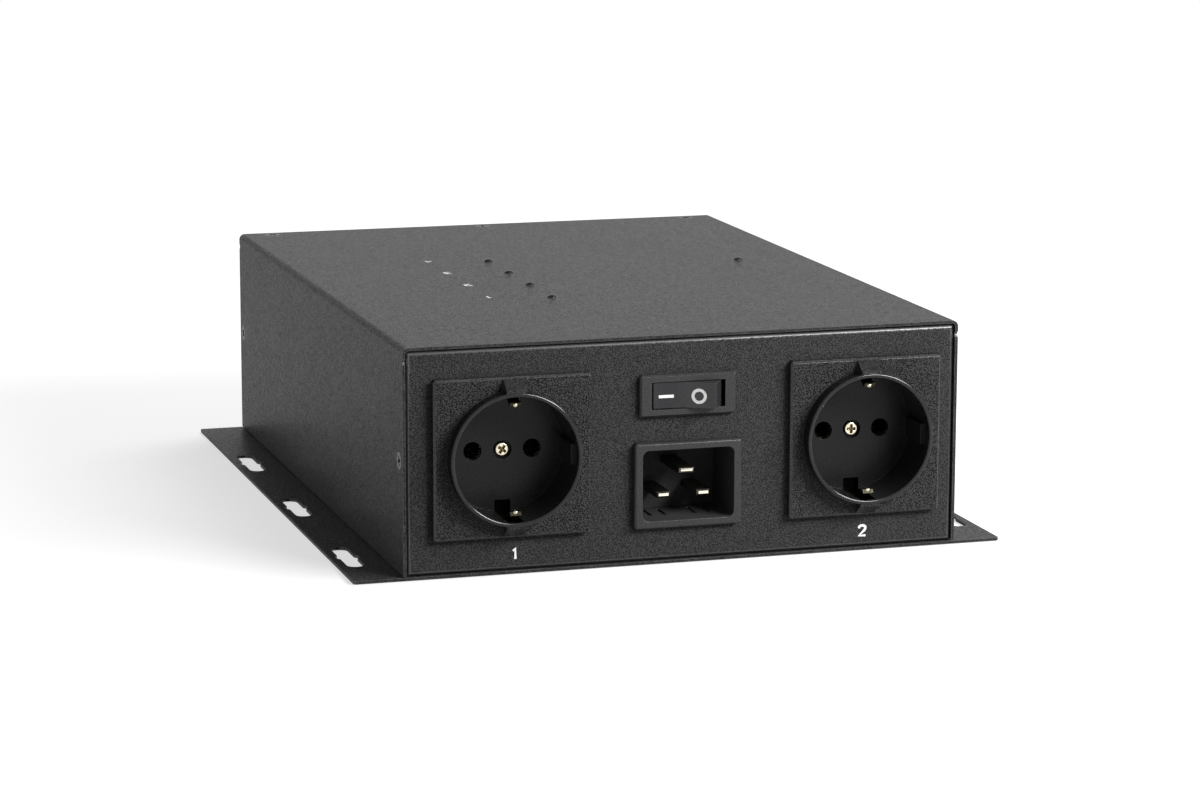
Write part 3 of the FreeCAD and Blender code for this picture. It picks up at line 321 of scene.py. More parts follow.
@dataclass(frozen=True)
class Finish:
    """One finish of the object, made into a procedural material on demand."""

    name: str
    color: Triple
    roughness: float
    grain: Grain
    metallic: float = 0.0
    specular: float = 0.5
    wander: float = 0.03
    wear_and_highlight: float = 0.0
    edge_gloss: float = 0.4
    edge_roughness: float = 0.24

    def shade(self, factor: float) -> Triple:
        """The finish's colour made lighter or darker."""
        return tuple(min(1.0, part * factor) for part in self.color)

    def material(self) -> bpy.types.Material:
        """Build the material once and give it back on later calls.

        Returns:
            The material, with mottled colour, wandering gloss and roughness, edges lightened as wear and as
            painted highlight, and a relief.
        """
        known = bpy.data.materials.get(self.name)
        if known is not None:
            return known
        graph = NodeGraph(self.name)
        layers = self.layers(graph)
        if self.wear_and_highlight > 0.0:
            # Edges lightened in patches: partly wear, partly a painted highlight along the edges
            patches = graph.spread(graph.noise(*WORN_PATCHES), MIDDLE_SPAN, (LEAST_WEAR, 1.0))
            worn_and_lit = graph.every(graph.edges(), patches)
            layers.color = graph.mix(worn_and_lit, layers.color, self.shade(1.0 + self.wear_and_highlight))
            rounds = graph.turning()
            layers.polish(graph, rounds, self.edge_gloss, self.edge_roughness)
            layers.flatten(graph, rounds)
        self.detail(graph, layers)
        graph.link(layers.color, graph.shader.inputs["Base Color"])
        graph.link(layers.rough, graph.shader.inputs["Roughness"])
        graph.link(layers.gloss, graph.shader.inputs["Specular IOR Level"])
        graph.shader.inputs["Metallic"].default_value = self.metallic
        bump = graph.add("ShaderNodeBump")
        bump.inputs["Distance"].default_value = self.grain.relief
        graph.link(layers.height, bump.inputs["Height"])
        graph.link(bump.outputs["Normal"], graph.shader.inputs["Normal"])
        if layers.rounding is not None:
            graph.link(layers.rounding, bump.inputs["Normal"])
        return graph.material

    def layers(self, graph: NodeGraph) -> Layers:
        """The finish on a flat: fine grain and broad patches.

        Args:
            graph: the material's nodes.

        Returns:
            The patterns before wear and detail.
        """
        grain = self.grain
        fine = graph.spread(graph.noise(grain.per_metre, GRAIN_OCTAVES), about(MID_LEVEL, grain.softness))
        broad = graph.noise(*BROAD_PATCHES)
        fine_tone = graph.spread(fine, UNIT, (0.0, FINE_SHARE))
        broad_tone = graph.spread(broad, BROAD_SPAN, (0.0, 1.0 - FINE_SHARE))
        color = graph.add("ShaderNodeValToRGB", graph.join("ADD", fine_tone, broad_tone))
        for end, factor in zip(color.color_ramp.elements, about(1.0, grain.mottling)):
            end.color = (*self.shade(factor), 1.0)
        rough = graph.spread(broad, BROAD_SPAN, about(self.roughness, self.wander))
        gloss = graph.spread(fine, UNIT, about(self.specular, self.specular * grain.sparkle))
        if grain.flecks > 0.0:
            spots = graph.noise(*FLECKS)
            gloss = graph.every(gloss, graph.spread(spots, MIDDLE_SPAN, about(1.0, grain.flecks)))
        return Layers(color.outputs["Color"], rough, fine, gloss)

    def detail(self, graph: NodeGraph, layers: Layers) -> None:
        """Change the layers where a finish differs from place to place; a plain finish does not."""


@dataclass(frozen=True)
class OutletMoulding(Finish):
    """Grained plate round a smoother well darkened as painted shade, with its clip channels blackened as
    painted shade.
    """

    centre: Triple = (0.0, 0.0, 0.0)
    soft: float = 0.1
    well_radius: float = 21.0
    well_fade: float = 0.98
    well_cover: float = 0.85
    well_painted_shade: float = 0.3
    well_roughness: float = 0.28
    well_gloss: float = 0.16
    rim_gloss: float = 0.3
    rim_roughness: float = 0.16
    rim: Pair = (19.5, 20.75)
    rim_fade: float = 0.99
    rim_lean: float = 0.85
    rim_front: float = 127.9
    ramp: Pair = (4.6, 24.4)
    channel: Triple = (2.5, 127.0, 15.7)
    channel_end: float = 21.7
    # Painted shade: the near-black colour of the clip channels
    channel_painted_shade: Triple = (0.001, 0.001, 0.001)
    channel_gloss: float = 0.02
    collar: float = 20.7
    collar_fade: float = 1.01
    plate: float = 124.3

    def detail(self, graph: NodeGraph, layers: Layers) -> None:
        """Smooth the well and darken it as painted shade by the distance from its axis, polish its lip, and
        blacken the channels by a box as painted shade.

        Args:
            graph: the material's nodes.
            layers: the patterns to change.
        """
        x, y, z = graph.offset(self.centre)
        squares = graph.join("ADD", graph.every(x, x), graph.every(z, z))
        soft = self.soft
        well = self.radial(graph, squares, self.well_radius, 1.0, self.well_fade)
        # Painted shade: the well's colour is darkened in the recess, and its grain is smoothed
        cover = graph.spread(well, UNIT, (0.0, self.well_cover))
        layers.color = graph.mix(cover, layers.color, self.shade(self.well_painted_shade))
        layers.flatten(graph, cover)
        layers.polish(graph, well, self.well_gloss, self.well_roughness)
        ring = self.radial(graph, squares, self.rim[0] - soft, self.rim_fade, 1.0)
        lip = graph.every(well, ring, graph.mask(y, self.rim_front - soft, self.rim_front))
        layers.polish(graph, lip, self.rim_gloss, self.rim_roughness)
        layers.flatten(graph, lip)
        layers.rounding = self.lip_normal(graph, squares, lip)
        ramp = graph.every(
            graph.mask(x, self.ramp[0] + soft, self.ramp[0]),
            graph.mask(z, self.ramp[1] + soft, self.ramp[1]),
            graph.spread(well, UNIT, (1.0, 0.0)),
        )
        layers.polish(graph, ramp, self.specular, self.roughness)
        width, depth, reach = self.channel
        inside = self.radial(graph, squares, self.collar, self.collar_fade, 1.0)
        behind = graph.mask(y, self.plate + soft, self.plate)
        # Painted shade: the clip channels are blackened and their gloss is taken away
        channel_shade = graph.every(
            graph.mask(x, width + soft, width),
            graph.mask(z, reach, reach + soft),
            graph.mask(y, depth + soft, depth),
            graph.join("MAXIMUM", inside, behind),
            graph.mask(z, self.channel_end + soft, self.channel_end),
        )
        layers.color = graph.mix(channel_shade, layers.color, self.channel_painted_shade)
        layers.gloss = graph.mix(channel_shade, layers.gloss, self.channel_gloss)

    def radial(self, graph: NodeGraph, squares: Socket, radius: float, off: float, on: float) -> Socket:
        """Mask round the axis, its span given as parts of the square of a radius in millimetres."""
        square = (radius * MM) ** 2
        return graph.spread(squares, (square * off, square * on))

    def lip_normal(self, graph: NodeGraph, squares: Socket, lip: Socket) -> Socket:
        """The normal of a half-round lip: it leans inward at the inner radius and outward at the outer one.

        Args:
            graph: the material's nodes.
            squares: square of the distance from the axis.
            lip: mask of the lip.

        Returns:
            The plain normal outside the lip, the leaning one on it.
        """
        near, far = ((part * MM) ** 2 for part in self.rim)
        lean = graph.spread(squares, (near, far), (-self.rim_lean, self.rim_lean))
        across = graph.vector("MULTIPLY", graph.from_point(self.centre), (1.0, 0.0, 1.0))
        tilt = graph.vector("SCALE", graph.vector("NORMALIZE", across), graph.every(lean, lip))
        plain = graph.add("ShaderNodeNewGeometry").outputs["Normal"]
        return graph.vector("NORMALIZE", graph.vector("ADD", plain, tilt))


@dataclass(frozen=True)
class Recessed(Finish):
    """A finish whose recess, a box, takes its own colour and gloss: the jack's darker moulded mouth, and
    painted light in the inlet's lit recess.
    """

    middle: Triple = (0.0, 0.0, 0.0)
    half: Triple = (1.0, 1.0, 1.0)
    soft: float = 0.05
    # Colour of the recess: the jack's dark moulding, and painted light in the inlet
    inner: Triple = (0.010, 0.010, 0.011)
    inner_roughness: float = 0.5
    inner_gloss: float = 0.1

    def detail(self, graph: NodeGraph, layers: Layers) -> None:
        """Recolour a box, the recess's walls behind its edge: darker in the jack, lighter as painted light in
        the inlet.

        Args:
            graph: the material's nodes.
            layers: the patterns to change.
        """
        sides = zip(graph.offset(self.middle), self.half)
        recess = graph.every(*(graph.mask(part, reach + self.soft, reach) for part, reach in sides))
        layers.color = graph.mix(recess, layers.color, self.inner)
        layers.polish(graph, recess, self.inner_gloss, self.inner_roughness)


@dataclass(frozen=True)
class SunkBrass(Finish):
    """Bright screw brass, darkened as painted shade with depth below its face."""

    face: float = 111.55
    lip: float = 0.05
    sunk: float = 0.5
    painted_sunk_shade: Triple = (0.10, 0.08, 0.045)

    def detail(self, graph: NodeGraph, layers: Layers) -> None:
        """Darken by the depth below the face: painted shade."""
        # Painted shade: the deeper below the face, the darker
        depth = graph.mask(graph.offset((0.0, 0.0, 0.0))[1], self.face - self.lip, self.face - self.sunk)
        layers.color = graph.mix(depth, layers.color, self.painted_sunk_shade)


@dataclass(frozen=True)
class BlankedBlade(Finish):
    """Blade in lit and shaded copies of one brass: a dark colour as painted shade, bright outward ends as
    painted highlight.
    """

    # Painted highlight: the colour of the faces that look straight out
    end: Triple = (0.90, 0.85, 0.70)
    outward: Pair = (-0.98, -0.995)

    def detail(self, graph: NodeGraph, layers: Layers) -> None:
        """Brighten the faces that look straight out: a painted highlight."""
        ends = graph.spread(graph.parts(graph.facing)[1], self.outward)
        layers.color = graph.mix(ends, layers.color, self.end)


POWDER_COAT = Finish(
    "powder_coat",
    (0.033, 0.033, 0.0328),
    0.32,
    Grain(2600.0, 6e-5, 0.5, softness=0.1, sparkle=0.6, flecks=0.5),
    specular=0.0255,
    wander=0.008,
    wear_and_highlight=2.0,
    edge_gloss=0.6,
    edge_roughness=0.3,
)
OUTLET_BLACK = OutletMoulding(
    "outlet_black",
    (0.0215, 0.0215, 0.0216),
    0.38,
    Grain(2200.0, 1.1e-4, 0.85, softness=0.1),
    specular=0.1,
    wear_and_highlight=1.2,
)
SMOOTH_BLACK = Recessed(
    "smooth_black",
    (0.026, 0.026, 0.0262),
    0.40,
    Grain(2000.0, 3e-5, 0.3),
    specular=0.25,
    wear_and_highlight=0.8,
    edge_gloss=0.25,
    middle=(0.4, -112.0, 25.2),
    half=(15.0, 11.6, 11.3),
    # Painted light: the inlet's recess is lighter than its frame, so that its lit back wall shows brighter
    inner=(0.036, 0.036, 0.036),
    inner_gloss=0.04,
)
TINNED_SHIELD = Recessed(
    "tinned_shield",
    (0.62, 0.62, 0.61),
    0.32,
    Grain(1500.0, 8e-6, 0.12),
    metallic=1.0,
    middle=(0.0, 114.85, 17.2),
    half=(6.05, 6.4, 5.0),
)
GLOSSY_GRAIN = Grain(2600.0, 8e-6, 0.2)
BLACKED_GRAIN = Grain(2200.0, 1e-5, 0.3)
BRASS_GRAIN = Grain(1800.0, 6e-6, 0.15)
SLEEVE_GRAIN = Grain(1500.0, 6e-6, 0.15)
ROCKER_BLACK = Finish("rocker_black", (0.020, 0.020, 0.022), 0.32, GLOSSY_GRAIN, specular=0.25, wear_and_highlight=0.6)
BLACKED_STEEL = Finish("blacked_steel", (0.014, 0.014, 0.015), 0.35, BLACKED_GRAIN, metallic=0.5, wear_and_highlight=1.0)
NICKEL_BRASS = SunkBrass("nickel_brass", (0.74, 0.66, 0.50), 0.22, BRASS_GRAIN, metallic=1.0)
PLATED_BRASS = Finish("plated_brass", (0.66, 0.58, 0.42), 0.27, BRASS_GRAIN, metallic=1.0)
# Painted shade in the blade's colour; its outward ends get a painted highlight
BLADE_BRASS_PAINTED_LIGHT = BlankedBlade("blade_brass_painted_light", (0.10, 0.092, 0.075), 0.32, Grain(1800.0, 8e-6, 0.2), metallic=1.0)
SPRING_STRIP = Finish("spring_strip", (0.52, 0.50, 0.40), 0.25, Grain(1800.0, 6e-6, 0.12), metallic=1.0)
# Painted shade: the spring strap's metal is darkened, as it lies in the shaded channels
CLIP_STRIP_PAINTED_SHADE = Finish("clip_strip_painted_shade", (0.035, 0.034, 0.022), 0.28, Grain(1800.0, 8e-6, 0.25), metallic=1.0)
RUBBED_BRASS = Finish("rubbed_brass", (0.48, 0.45, 0.32), 0.2, Grain(1800.0, 4e-6, 0.15), metallic=1.0)
GILT_WIRE = Finish("gilt_wire", (0.80, 0.58, 0.22), 0.25, Grain(1800.0, 4e-6, 0.12), metallic=0.4)
SMOKED_LENS = Finish("smoked_lens", (0.010, 0.010, 0.010), 0.16, Grain(900.0, 4e-6, 0.2), specular=0.15)
WHITE_PRINT = Finish("white_print", (0.74, 0.74, 0.72), 0.5, Grain(2600.0, 4e-6, 0.06))
DARK_MOULDING = Finish("dark_moulding", (0.02, 0.02, 0.022), 0.5, Grain(1500.0, 1e-5, 0.25))
GREEN_BLOCK = Finish("green_block", (0.02, 0.16, 0.06), 0.45, Grain(1500.0, 1e-5, 0.2))
SOLDER_MASK = Finish("solder_mask", (0.01, 0.09, 0.03), 0.35, Grain(500.0, 6e-6, 0.3))
NATURAL_NYLON = Finish("natural_nylon", (0.72, 0.72, 0.68), 0.5, Grain(1500.0, 8e-6, 0.08))
BROWN_WIRE = Finish("brown_wire", (0.10, 0.04, 0.015), 0.45, SLEEVE_GRAIN)
BLUE_WIRE = Finish("blue_wire", (0.02, 0.08, 0.32), 0.45, SLEEVE_GRAIN)
GREEN_YELLOW_WIRE = Finish("green_yellow_wire", (0.20, 0.35, 0.02), 0.45, SLEEVE_GRAIN)


# Mesh building


@dataclass
class Surface:
    """A mesh put together from grids of points, in metres in the row frame."""

    name: str
    points: list[np.ndarray] = field(default_factory=list)
    faces: list[np.ndarray] = field(default_factory=list)
    count: int = 0

    def grid(self, points: np.ndarray, around: bool = False) -> "Surface":
        """Add a grid of quads.

        Args:
            points: array of rows, columns and 3 coordinates.
            around: whether the last column joins the first.

        Returns:
            The surface itself.
        """
        rows, columns = points.shape[:2]
        index = np.arange(rows * columns).reshape(rows, columns)
        right = np.roll(index, -1, axis=1) if around else index[:, 1:]
        left = index if around else index[:, :-1]
        quads = np.stack([left[:-1], right[:-1], right[1:], left[1:]], axis=-1).reshape(-1, 4)
        self.points.append(points.reshape(-1, 3))
        self.faces.append(quads + self.count)
        self.count += rows * columns
        return self

    def mesh(self) -> bpy.types.Mesh:
        """Put all grids into one mesh.

        Returns:
            The mesh, with its seams still open.
        """
        mesh = bpy.data.meshes.new(self.name)
        mesh.from_pydata(np.concatenate(self.points).tolist(), [], np.concatenate(self.faces).tolist())
        return mesh

    def finish(self, finish: Finish, body: str, slot: Slot, replaced: Names = ()) -> None:
        """Make the mesh, close its seams, shade it and seat it on its body.

        Args:
            finish: finish of the piece.
            body: body that carries the piece.
            slot: not used.
            replaced: CAD nodes that the piece stands for.
        """
        mesh = self.mesh()
        work = bmesh.new()
        work.from_mesh(mesh)
        bmesh.ops.remove_doubles(work, verts=work.verts, dist=SEAM)
        bmesh.ops.dissolve_degenerate(work, edges=work.edges, dist=SLIVER)
        bmesh.ops.recalc_face_normals(work, faces=work.faces)
        work.to_mesh(mesh)
        work.free()
        mesh.shade_smooth()
        mesh.set_sharp_from_angle(angle=math.radians(SHARP_ANGLE))
        mesh.materials.append(finish.material())
        piece = bpy.data.objects.new(self.name, mesh)
        bpy.context.scene.collection.objects.link(piece)
        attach(piece, body)
        if replaced:
            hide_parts(*replaced)
        LOG.info("%s: %d faces on %s", self.name, len(mesh.polygons), body)


def turned(radii: np.ndarray, heights: np.ndarray, around: int) -> np.ndarray:
    """A profile turned about z: (r cos a, r sin a, z) for its radii r and heights z, a round the circle.

    Args:
        radii: radii of the profile.
        heights: its heights.
        around: steps round the circle.

    Returns:
        Array of rings, angles and 3 coordinates.
    """
    angle = np.linspace(0.0, 2.0 * math.pi, around, endpoint=False)
    level = np.repeat(heights[:, None], around, axis=1)
    return np.stack([radii[:, None] * np.cos(angle), radii[:, None] * np.sin(angle), level], axis=-1)


def smooth_step(value: np.ndarray, edge: float, width: float) -> np.ndarray:
    """1 below an edge and 0 above it, with a smooth cubic fall over a width."""
    t = np.clip((value - edge) / width + 0.5, 0.0, 1.0)
    return 1.0 - t * t * (3.0 - 2.0 * t)


def frame_matrix(origin: Triple, right: Triple, up: Triple) -> np.ndarray:
    """Columns right, up, out and origin in millimetres of a local frame, out being right cross up."""
    return np.stack([right, up, np.cross(right, up), origin], axis=-1)


def to_row(points: np.ndarray, local: np.ndarray) -> np.ndarray:
    """Carry local points in millimetres into the row frame in metres: x right + y up + z out + origin."""
    return (points @ local[:, :3].T + local[:, 3]) * MM


def spun(points: np.ndarray, angle: float) -> np.ndarray:
    """Turn local points about their own z axis by an angle in radians."""
    c, s = math.cos(angle), math.sin(angle)
    return points @ np.array([[c, s, 0.0], [-s, c, 0.0], [0.0, 0.0, 1.0]])


def dress(names: Names, finish: Finish, edge: float = 0.0) -> None:
    """Give CAD nodes a finish, and soften their edges if a width is given.

    Args:
        names: the nodes.
        finish: their finish.
        edge: width of the softened edge in millimetres, or 0.
    """
    for name in names:
        node = NODES[name]
        node.data.materials.clear()
        node.data.materials.append(finish.material())
        if edge > 0.0:
            soften(node, edge)
        LOG.info("%s dressed in %s", name, finish.name)


def soften(
    node: bpy.types.Object, edge: float, bend: float = 0.0, marks: bpy.types.NodeTree | None = None
) -> None:
    """Join a CAD node's loose triangles and round its edges.

    Args:
        node: the CAD node's object.
        edge: width of the round in millimetres.
        bend: width of the round on marked edges in millimetres.
        marks: node group that marks the edges with the larger round, if there are any.
    """
    weld = node.modifiers.new("joined", "WELD")
    weld.merge_threshold = WELD_REACH
    flats = node.modifiers.new("flats", "DECIMATE")
    flats.decimate_type = "DISSOLVE"
    flats.angle_limit = math.radians(FLAT_ANGLE)
    if marks is not None:
        node.modifiers.new("marked", "NODES").node_group = marks
        turn = node.modifiers.new("bent", "BEVEL")
        turn.width = bend * MM
        turn.segments = BEND_STEPS
        turn.limit_method = "WEIGHT"
    bevel = node.modifiers.new("eased", "BEVEL")
    bevel.width = edge * MM
    bevel.segments = EASED_STEPS
    bevel.limit_method = "ANGLE"
    bevel.angle_limit = math.radians(EASED_ANGLE)
    normals = node.modifiers.new("shading", "WEIGHTED_NORMAL")
    normals.mode = "FACE_AREA"
    normals.weight = FACE_WEIGHT
    normals.keep_sharp = True
    node.data.shade_smooth()


# Sub-assemblies


@dataclass
class Case:
    """Cover, panels and base plate: folded sheets in one powder coat."""

    sheets: Names = ("base_plate", "cover")
    pans: Names = ("front_panel", "rear_panel")
    edge: float = 0.15
    bend: float = 1.2
    pan_half: Triple = (89.0, PANEL_FACE, 35.0)
    pan_middle: float = 36.0
    slack: float = 0.02

    def dress(self) -> None:
        """Coat the sheets, and round the outer bends of the pans."""
        dress(self.sheets, POWDER_COAT, self.edge)
        dress(self.pans, POWDER_COAT)
        marks = self.bend_marks()
        for name in self.pans:
            soften(NODES[name], self.edge, self.bend, marks)

    def bend_marks(self) -> bpy.types.NodeTree:
        """A node group that weighs the edges on a pan's face that also lie on its outline.

        Returns:
            The node group, for a modifier.
        """
        tree = bpy.data.node_groups.new("pan_bends", "GeometryNodeTree")
        for way in ("INPUT", "OUTPUT"):
            tree.interface.new_socket("Geometry", in_out=way, socket_type="NodeSocketGeometry")
        nodes = Nodes(tree)
        place = nodes.add("GeometryNodeInputPosition").outputs[0]
        shift = nodes.vector("SUBTRACT", place, (0.0, 0.0, self.pan_middle * MM))
        reached = []
        for size, half in zip(nodes.parts(nodes.vector("ABSOLUTE", shift)), self.pan_half):
            test = nodes.add("ShaderNodeMath", size, operation="COMPARE")
            test.inputs[1].default_value = half * MM
            test.inputs[2].default_value = self.slack * MM
            reached.append(test.outputs[0])
        side, face, level = reached
        store = nodes.add("GeometryNodeStoreNamedAttribute", data_type="FLOAT", domain="EDGE")
        store.inputs["Name"].default_value = "bevel_weight_edge"
        nodes.link(nodes.add("NodeGroupInput").outputs[0], store.inputs["Geometry"])
        nodes.link(nodes.every(nodes.join("MAXIMUM", side, level), face), store.inputs["Value"])
        nodes.add("NodeGroupOutput", store.outputs["Geometry"])
        return tree


class Turn(Enum):
    """Which way a screw's head or a print faces: the directions of its right and its up."""

    UP = ((1.0, 0.0, 0.0), (0.0, 1.0, 0.0))
    UP_TURNED = ((-1.0, 0.0, 0.0), (0.0, -1.0, 0.0))
    LEFT = ((0.0, -1.0, 0.0), (0.0, 0.0, 1.0))
    RIGHT = ((0.0, 1.0, 0.0), (0.0, 0.0, 1.0))
    NEAR = ((1.0, 0.0, 0.0), (0.0, 0.0, 1.0))
    FAR = ((-1.0, 0.0, 0.0), (0.0, 0.0, 1.0))


@dataclass(frozen=True)
class CrossScrew:
    """A cross-recess screw, turned from a profile of radii and heights, the recess sunk into its head."""

    profile: tuple[Pair, ...]
    recess_arm: float = 1.55
    recess_half_width: float = 0.34
    recess_depth: float = 0.75
    recess_soft: float = 0.22
    rings: int = 22
    around: int = 72

    def points(self) -> np.ndarray:
        """Polar grid: (r cos a, r sin a, z(r) - depth * cross(x, y)), the recess on the head's first rings.

        Returns:
            Array of rings, angles and 3 local coordinates in millimetres.
        """
        (head_radius, head_height), *below = self.profile
        radii = np.concatenate([np.linspace(0.0, head_radius, self.rings), [r for r, _ in below]])
        heights = np.concatenate([np.full(self.rings, head_height), [z for _, z in below]])
        grid = turned(radii, heights, self.around)
        head = grid[: self.rings]
        head[..., 2] -= self.recess_depth * self.cross(head[..., 0], head[..., 1])
        return grid

    def cross(self, x: np.ndarray, y: np.ndarray) -> np.ndarray:
        """A plus sign with soft walls: the larger of two soft bars.

        Args:
            x: local x in millimetres.
            y: local y in millimetres.

        Returns:
            1 in the recess, 0 outside.
        """
        arm, half, soft = self.recess_arm, self.recess_half_width, self.recess_soft
        across = smooth_step(np.abs(x), arm, soft) * smooth_step(np.abs(y), half, soft)
        upright = smooth_step(np.abs(y), arm, soft) * smooth_step(np.abs(x), half, soft)
        return np.maximum(across, upright)

    def placed(self, turn: Turn, where: Triple, spin: float) -> np.ndarray:
        """Its points in metres, by the place of the head's middle and a spin in radians."""
        return to_row(spun(self.points(), spin), frame_matrix(where, *turn.value))


CASE_SCREW = CrossScrew(
    ((2.55, -0.02), (2.72, -0.06), (2.79, -0.14), (1.85, -1.0))
    + ((1.45, -1.05), (1.45, -5.8), (1.1, -6.0), (0.0, -6.0))
)
OUTLET_SCREW = CrossScrew(
    ((1.75, 0.0), (2.05, -0.12), (2.3, -0.5), (2.3, -1.4), (1.45, -1.4), (1.45, -25.0), (0.0, -25.0)),
    recess_arm=1.35,
    recess_half_width=0.36,
    recess_depth=0.8,
)


@dataclass
class CaseScrews:
    """Countersunk screws along the top's far edge and in both walls, each turned a step further."""

    top_x: Floats = (-78.6, 0.0, 78.6)
    top_y: float = 117.45
    top_z: float = CASE_TOP
    top_spin: Pair = (0.5, 0.9)
    wall_x: float = 90.0
    wall_y: Floats = (-117.05, 117.05)
    wall_z: float = 36.5
    left_spin: Pair = (0.3, 0.7)
    right_spin: Pair = (1.1, 0.7)
    screw: CrossScrew = CASE_SCREW

    def build(self) -> None:
        """Make both groups of screws."""
        top = Surface("cover_top_screw_heads")
        for number, x in enumerate(self.top_x):
            spin = self.top_spin[0] + self.top_spin[1] * number
            top.grid(self.screw.placed(Turn.UP, (x, self.top_y, self.top_z), spin), around=True)
        top.finish(BLACKED_STEEL, CASE_BODY, Slot.SCREW, ("cover_top_screws",))
        walls = ((Turn.LEFT, -self.wall_x, self.left_spin), (Turn.RIGHT, self.wall_x, self.right_spin))
        side = Surface("cover_side_screw_heads")
        for number, y in enumerate(self.wall_y):
            for turn, x, (first, step) in walls:
                side.grid(self.screw.placed(turn, (x, y, self.wall_z), first + step * number), around=True)
        side.finish(BLACKED_STEEL, CASE_BODY, Slot.SCREW, ("cover_side_screws",))


# Middle of each outlet in millimetres along x, and whether it is in the far panel
OUTLETS: tuple[tuple[float, bool], ...] = ((-56.0, False), (58.5, False), (56.0, True), (-58.5, True))


@dataclass
class Outlet:
    """One earthed outlet: the moulded insert, its spring strap, contacts and centre screw."""

    number: int
    x: float
    far: bool
    z: float = 37.0
    face: float = PANEL_FACE
    edge: float = 0.25
    strap_edge: float = 0.15
    screw_drop: float = 9.9
    screw_spin: Pair = (0.35, 0.6)
    bead: Triple = (1.0, 1.1, 0.9)
    bead_depth: float = 4.75
    bead_reach: float = 16.7
    bead_grid: tuple[int, int] = (17, 32)
    screw: CrossScrew = OUTLET_SCREW

    def node(self, part: str) -> str:
        """Name of one of this outlet's CAD nodes."""
        return f"socket_{self.number}_{part}"

    def build(self) -> None:
        """Dress the nodes, and make the screw and the clips' beads."""
        moulding = replace(OUTLET_BLACK, name=self.node("moulding"), centre=(self.x, 0.0, self.z))
        dress((self.node("housing"),), moulding, self.edge)
        dress((self.node("cap"),), DARK_MOULDING)
        dress((self.node("contacts"),), PLATED_BRASS)
        dress((self.node("earth_strap"),), CLIP_STRIP_PAINTED_SHADE, self.strap_edge)
        side = 1.0 if self.far else -1.0
        turn = Turn.FAR if self.far else Turn.NEAR
        where = (self.x, side * (self.face - self.screw_drop), self.z)
        spin = self.screw_spin[0] + self.screw_spin[1] * self.number
        head = Surface(self.node("screw_head")).grid(self.screw.placed(turn, where, spin), around=True)
        head.finish(NICKEL_BRASS, CASE_BODY, Slot.BRIGHT_SCREW, (self.node("screw"),))
        beads = Surface(self.node("clip_beads"))
        for way in (-1.0, 1.0):
            middle = (self.x, side * (self.face + self.bead_depth), self.z + way * self.bead_reach)
            beads.grid(self.bead_points(middle), around=True)
        beads.finish(RUBBED_BRASS, CASE_BODY, Slot.SPRING)

    def bead_points(self, middle: Triple) -> np.ndarray:
        """The rubbed bead on a clip, an ellipsoid: middle + (a sin t cos p, b sin t sin p, c cos t).

        Args:
            middle: its middle in millimetres.

        Returns:
            Grid of points in metres, t down the rows and p along the columns.
        """
        rows, columns = self.bead_grid
        t = np.linspace(0.0, math.pi, rows)
        unit = turned(np.sin(t), np.cos(t), columns)
        return (unit * np.array(self.bead) + np.array(middle)) * MM


@dataclass
class Inlet:
    """The mains inlet: a moulded frame and three blades."""

    blades: Names = ("inlet_line_pin", "inlet_neutral_pin", "inlet_earth_pin")
    edge: float = 0.3
    blade_edge: float = 0.4

    def dress(self) -> None:
        """Give frame and blades their finish."""
        dress(("inlet_housing",), SMOOTH_BLACK, self.edge)
        dress(self.blades, BLADE_BRASS_PAINTED_LIGHT, self.blade_edge)


@dataclass
class RockerSwitch:
    """Bezel, rocker with its two marks, plunger, lever and terminals."""

    metal: Names = ("switch_contact_lever", "switch_common_terminal", "switch_throw_terminal")
    bezel_edge: float = 0.25
    rocker_edge: float = 0.35
    pivot: Triple = (0.4, -118.25, 53.3)
    tilt: float = 16.0
    ridge: float = 5.2
    tip: Pair = (9.6, 7.6)
    bar: Pair = (4.8, 0.95)
    bar_grid: tuple[int, int] = (9, 3)
    bar_reach: float = 5.75
    ring_radius: float = 2.4
    ring_stroke: float = 0.95
    ring_reach: float = 4.7
    ring_steps: int = 64
    mark_drop: float = 0.25
    lift: float = 0.03

    def build(self) -> None:
        """Dress the nodes and print both marks."""
        dress(("switch_housing",), SMOOTH_BLACK, self.bezel_edge)
        dress(("switch_rocker",), ROCKER_BLACK, self.rocker_edge)
        dress(("switch_plunger",), DARK_MOULDING)
        dress(self.metal, PLATED_BRASS)
        for name, points, around in (("on", self.bar_points(), False), ("off", self.ring_points(), True)):
            Surface(f"switch_mark_{name}").grid(points, around).finish(WHITE_PRINT, ROCKER_BODY, Slot.ROCKER)

    def half_frame(self, side: float) -> np.ndarray:
        """The frame of one pressing face: origin on the ridge, x along the face to the right, y up.

        Args:
            side: 1 for the right face, -1 for the left one.

        Returns:
            A 3 by 4 array.
        """
        turn = math.radians(-self.tilt)
        run = np.array([self.tip[0], side * (self.ridge - self.tip[1]), 0.0])
        right = spun(run / np.linalg.norm(run), turn)
        origin = np.array(self.pivot) + spun(np.array([0.0, -self.ridge, 0.0]), turn)
        return frame_matrix(tuple(origin), tuple(right), (0.0, 0.0, 1.0))

    def bar_points(self) -> np.ndarray:
        """A flat bar on the pressed face: (u - reach, v - drop, lift), u over its length, v over its width.

        Returns:
            Grid of points in metres.
        """
        along, across = (np.linspace(-0.5, 0.5, steps) * size for steps, size in zip(self.bar_grid, self.bar))
        u, v = np.meshgrid(along, across)
        local = np.stack([u - self.bar_reach, v - self.mark_drop, np.full_like(u, self.lift)], axis=-1)
        return to_row(local, self.half_frame(-1.0))

    def ring_points(self) -> np.ndarray:
        """A flat ring on the raised face: (reach + r cos a, r sin a - drop, lift) for r over the stroke.

        Returns:
            Grid of points in metres.
        """
        radii = np.array([self.ring_radius - self.ring_stroke, self.ring_radius])
        ring = turned(radii, np.full_like(radii, self.lift), self.ring_steps)
        return to_row(ring + np.array([self.ring_reach, -self.mark_drop, 0.0]), self.half_frame(1.0))


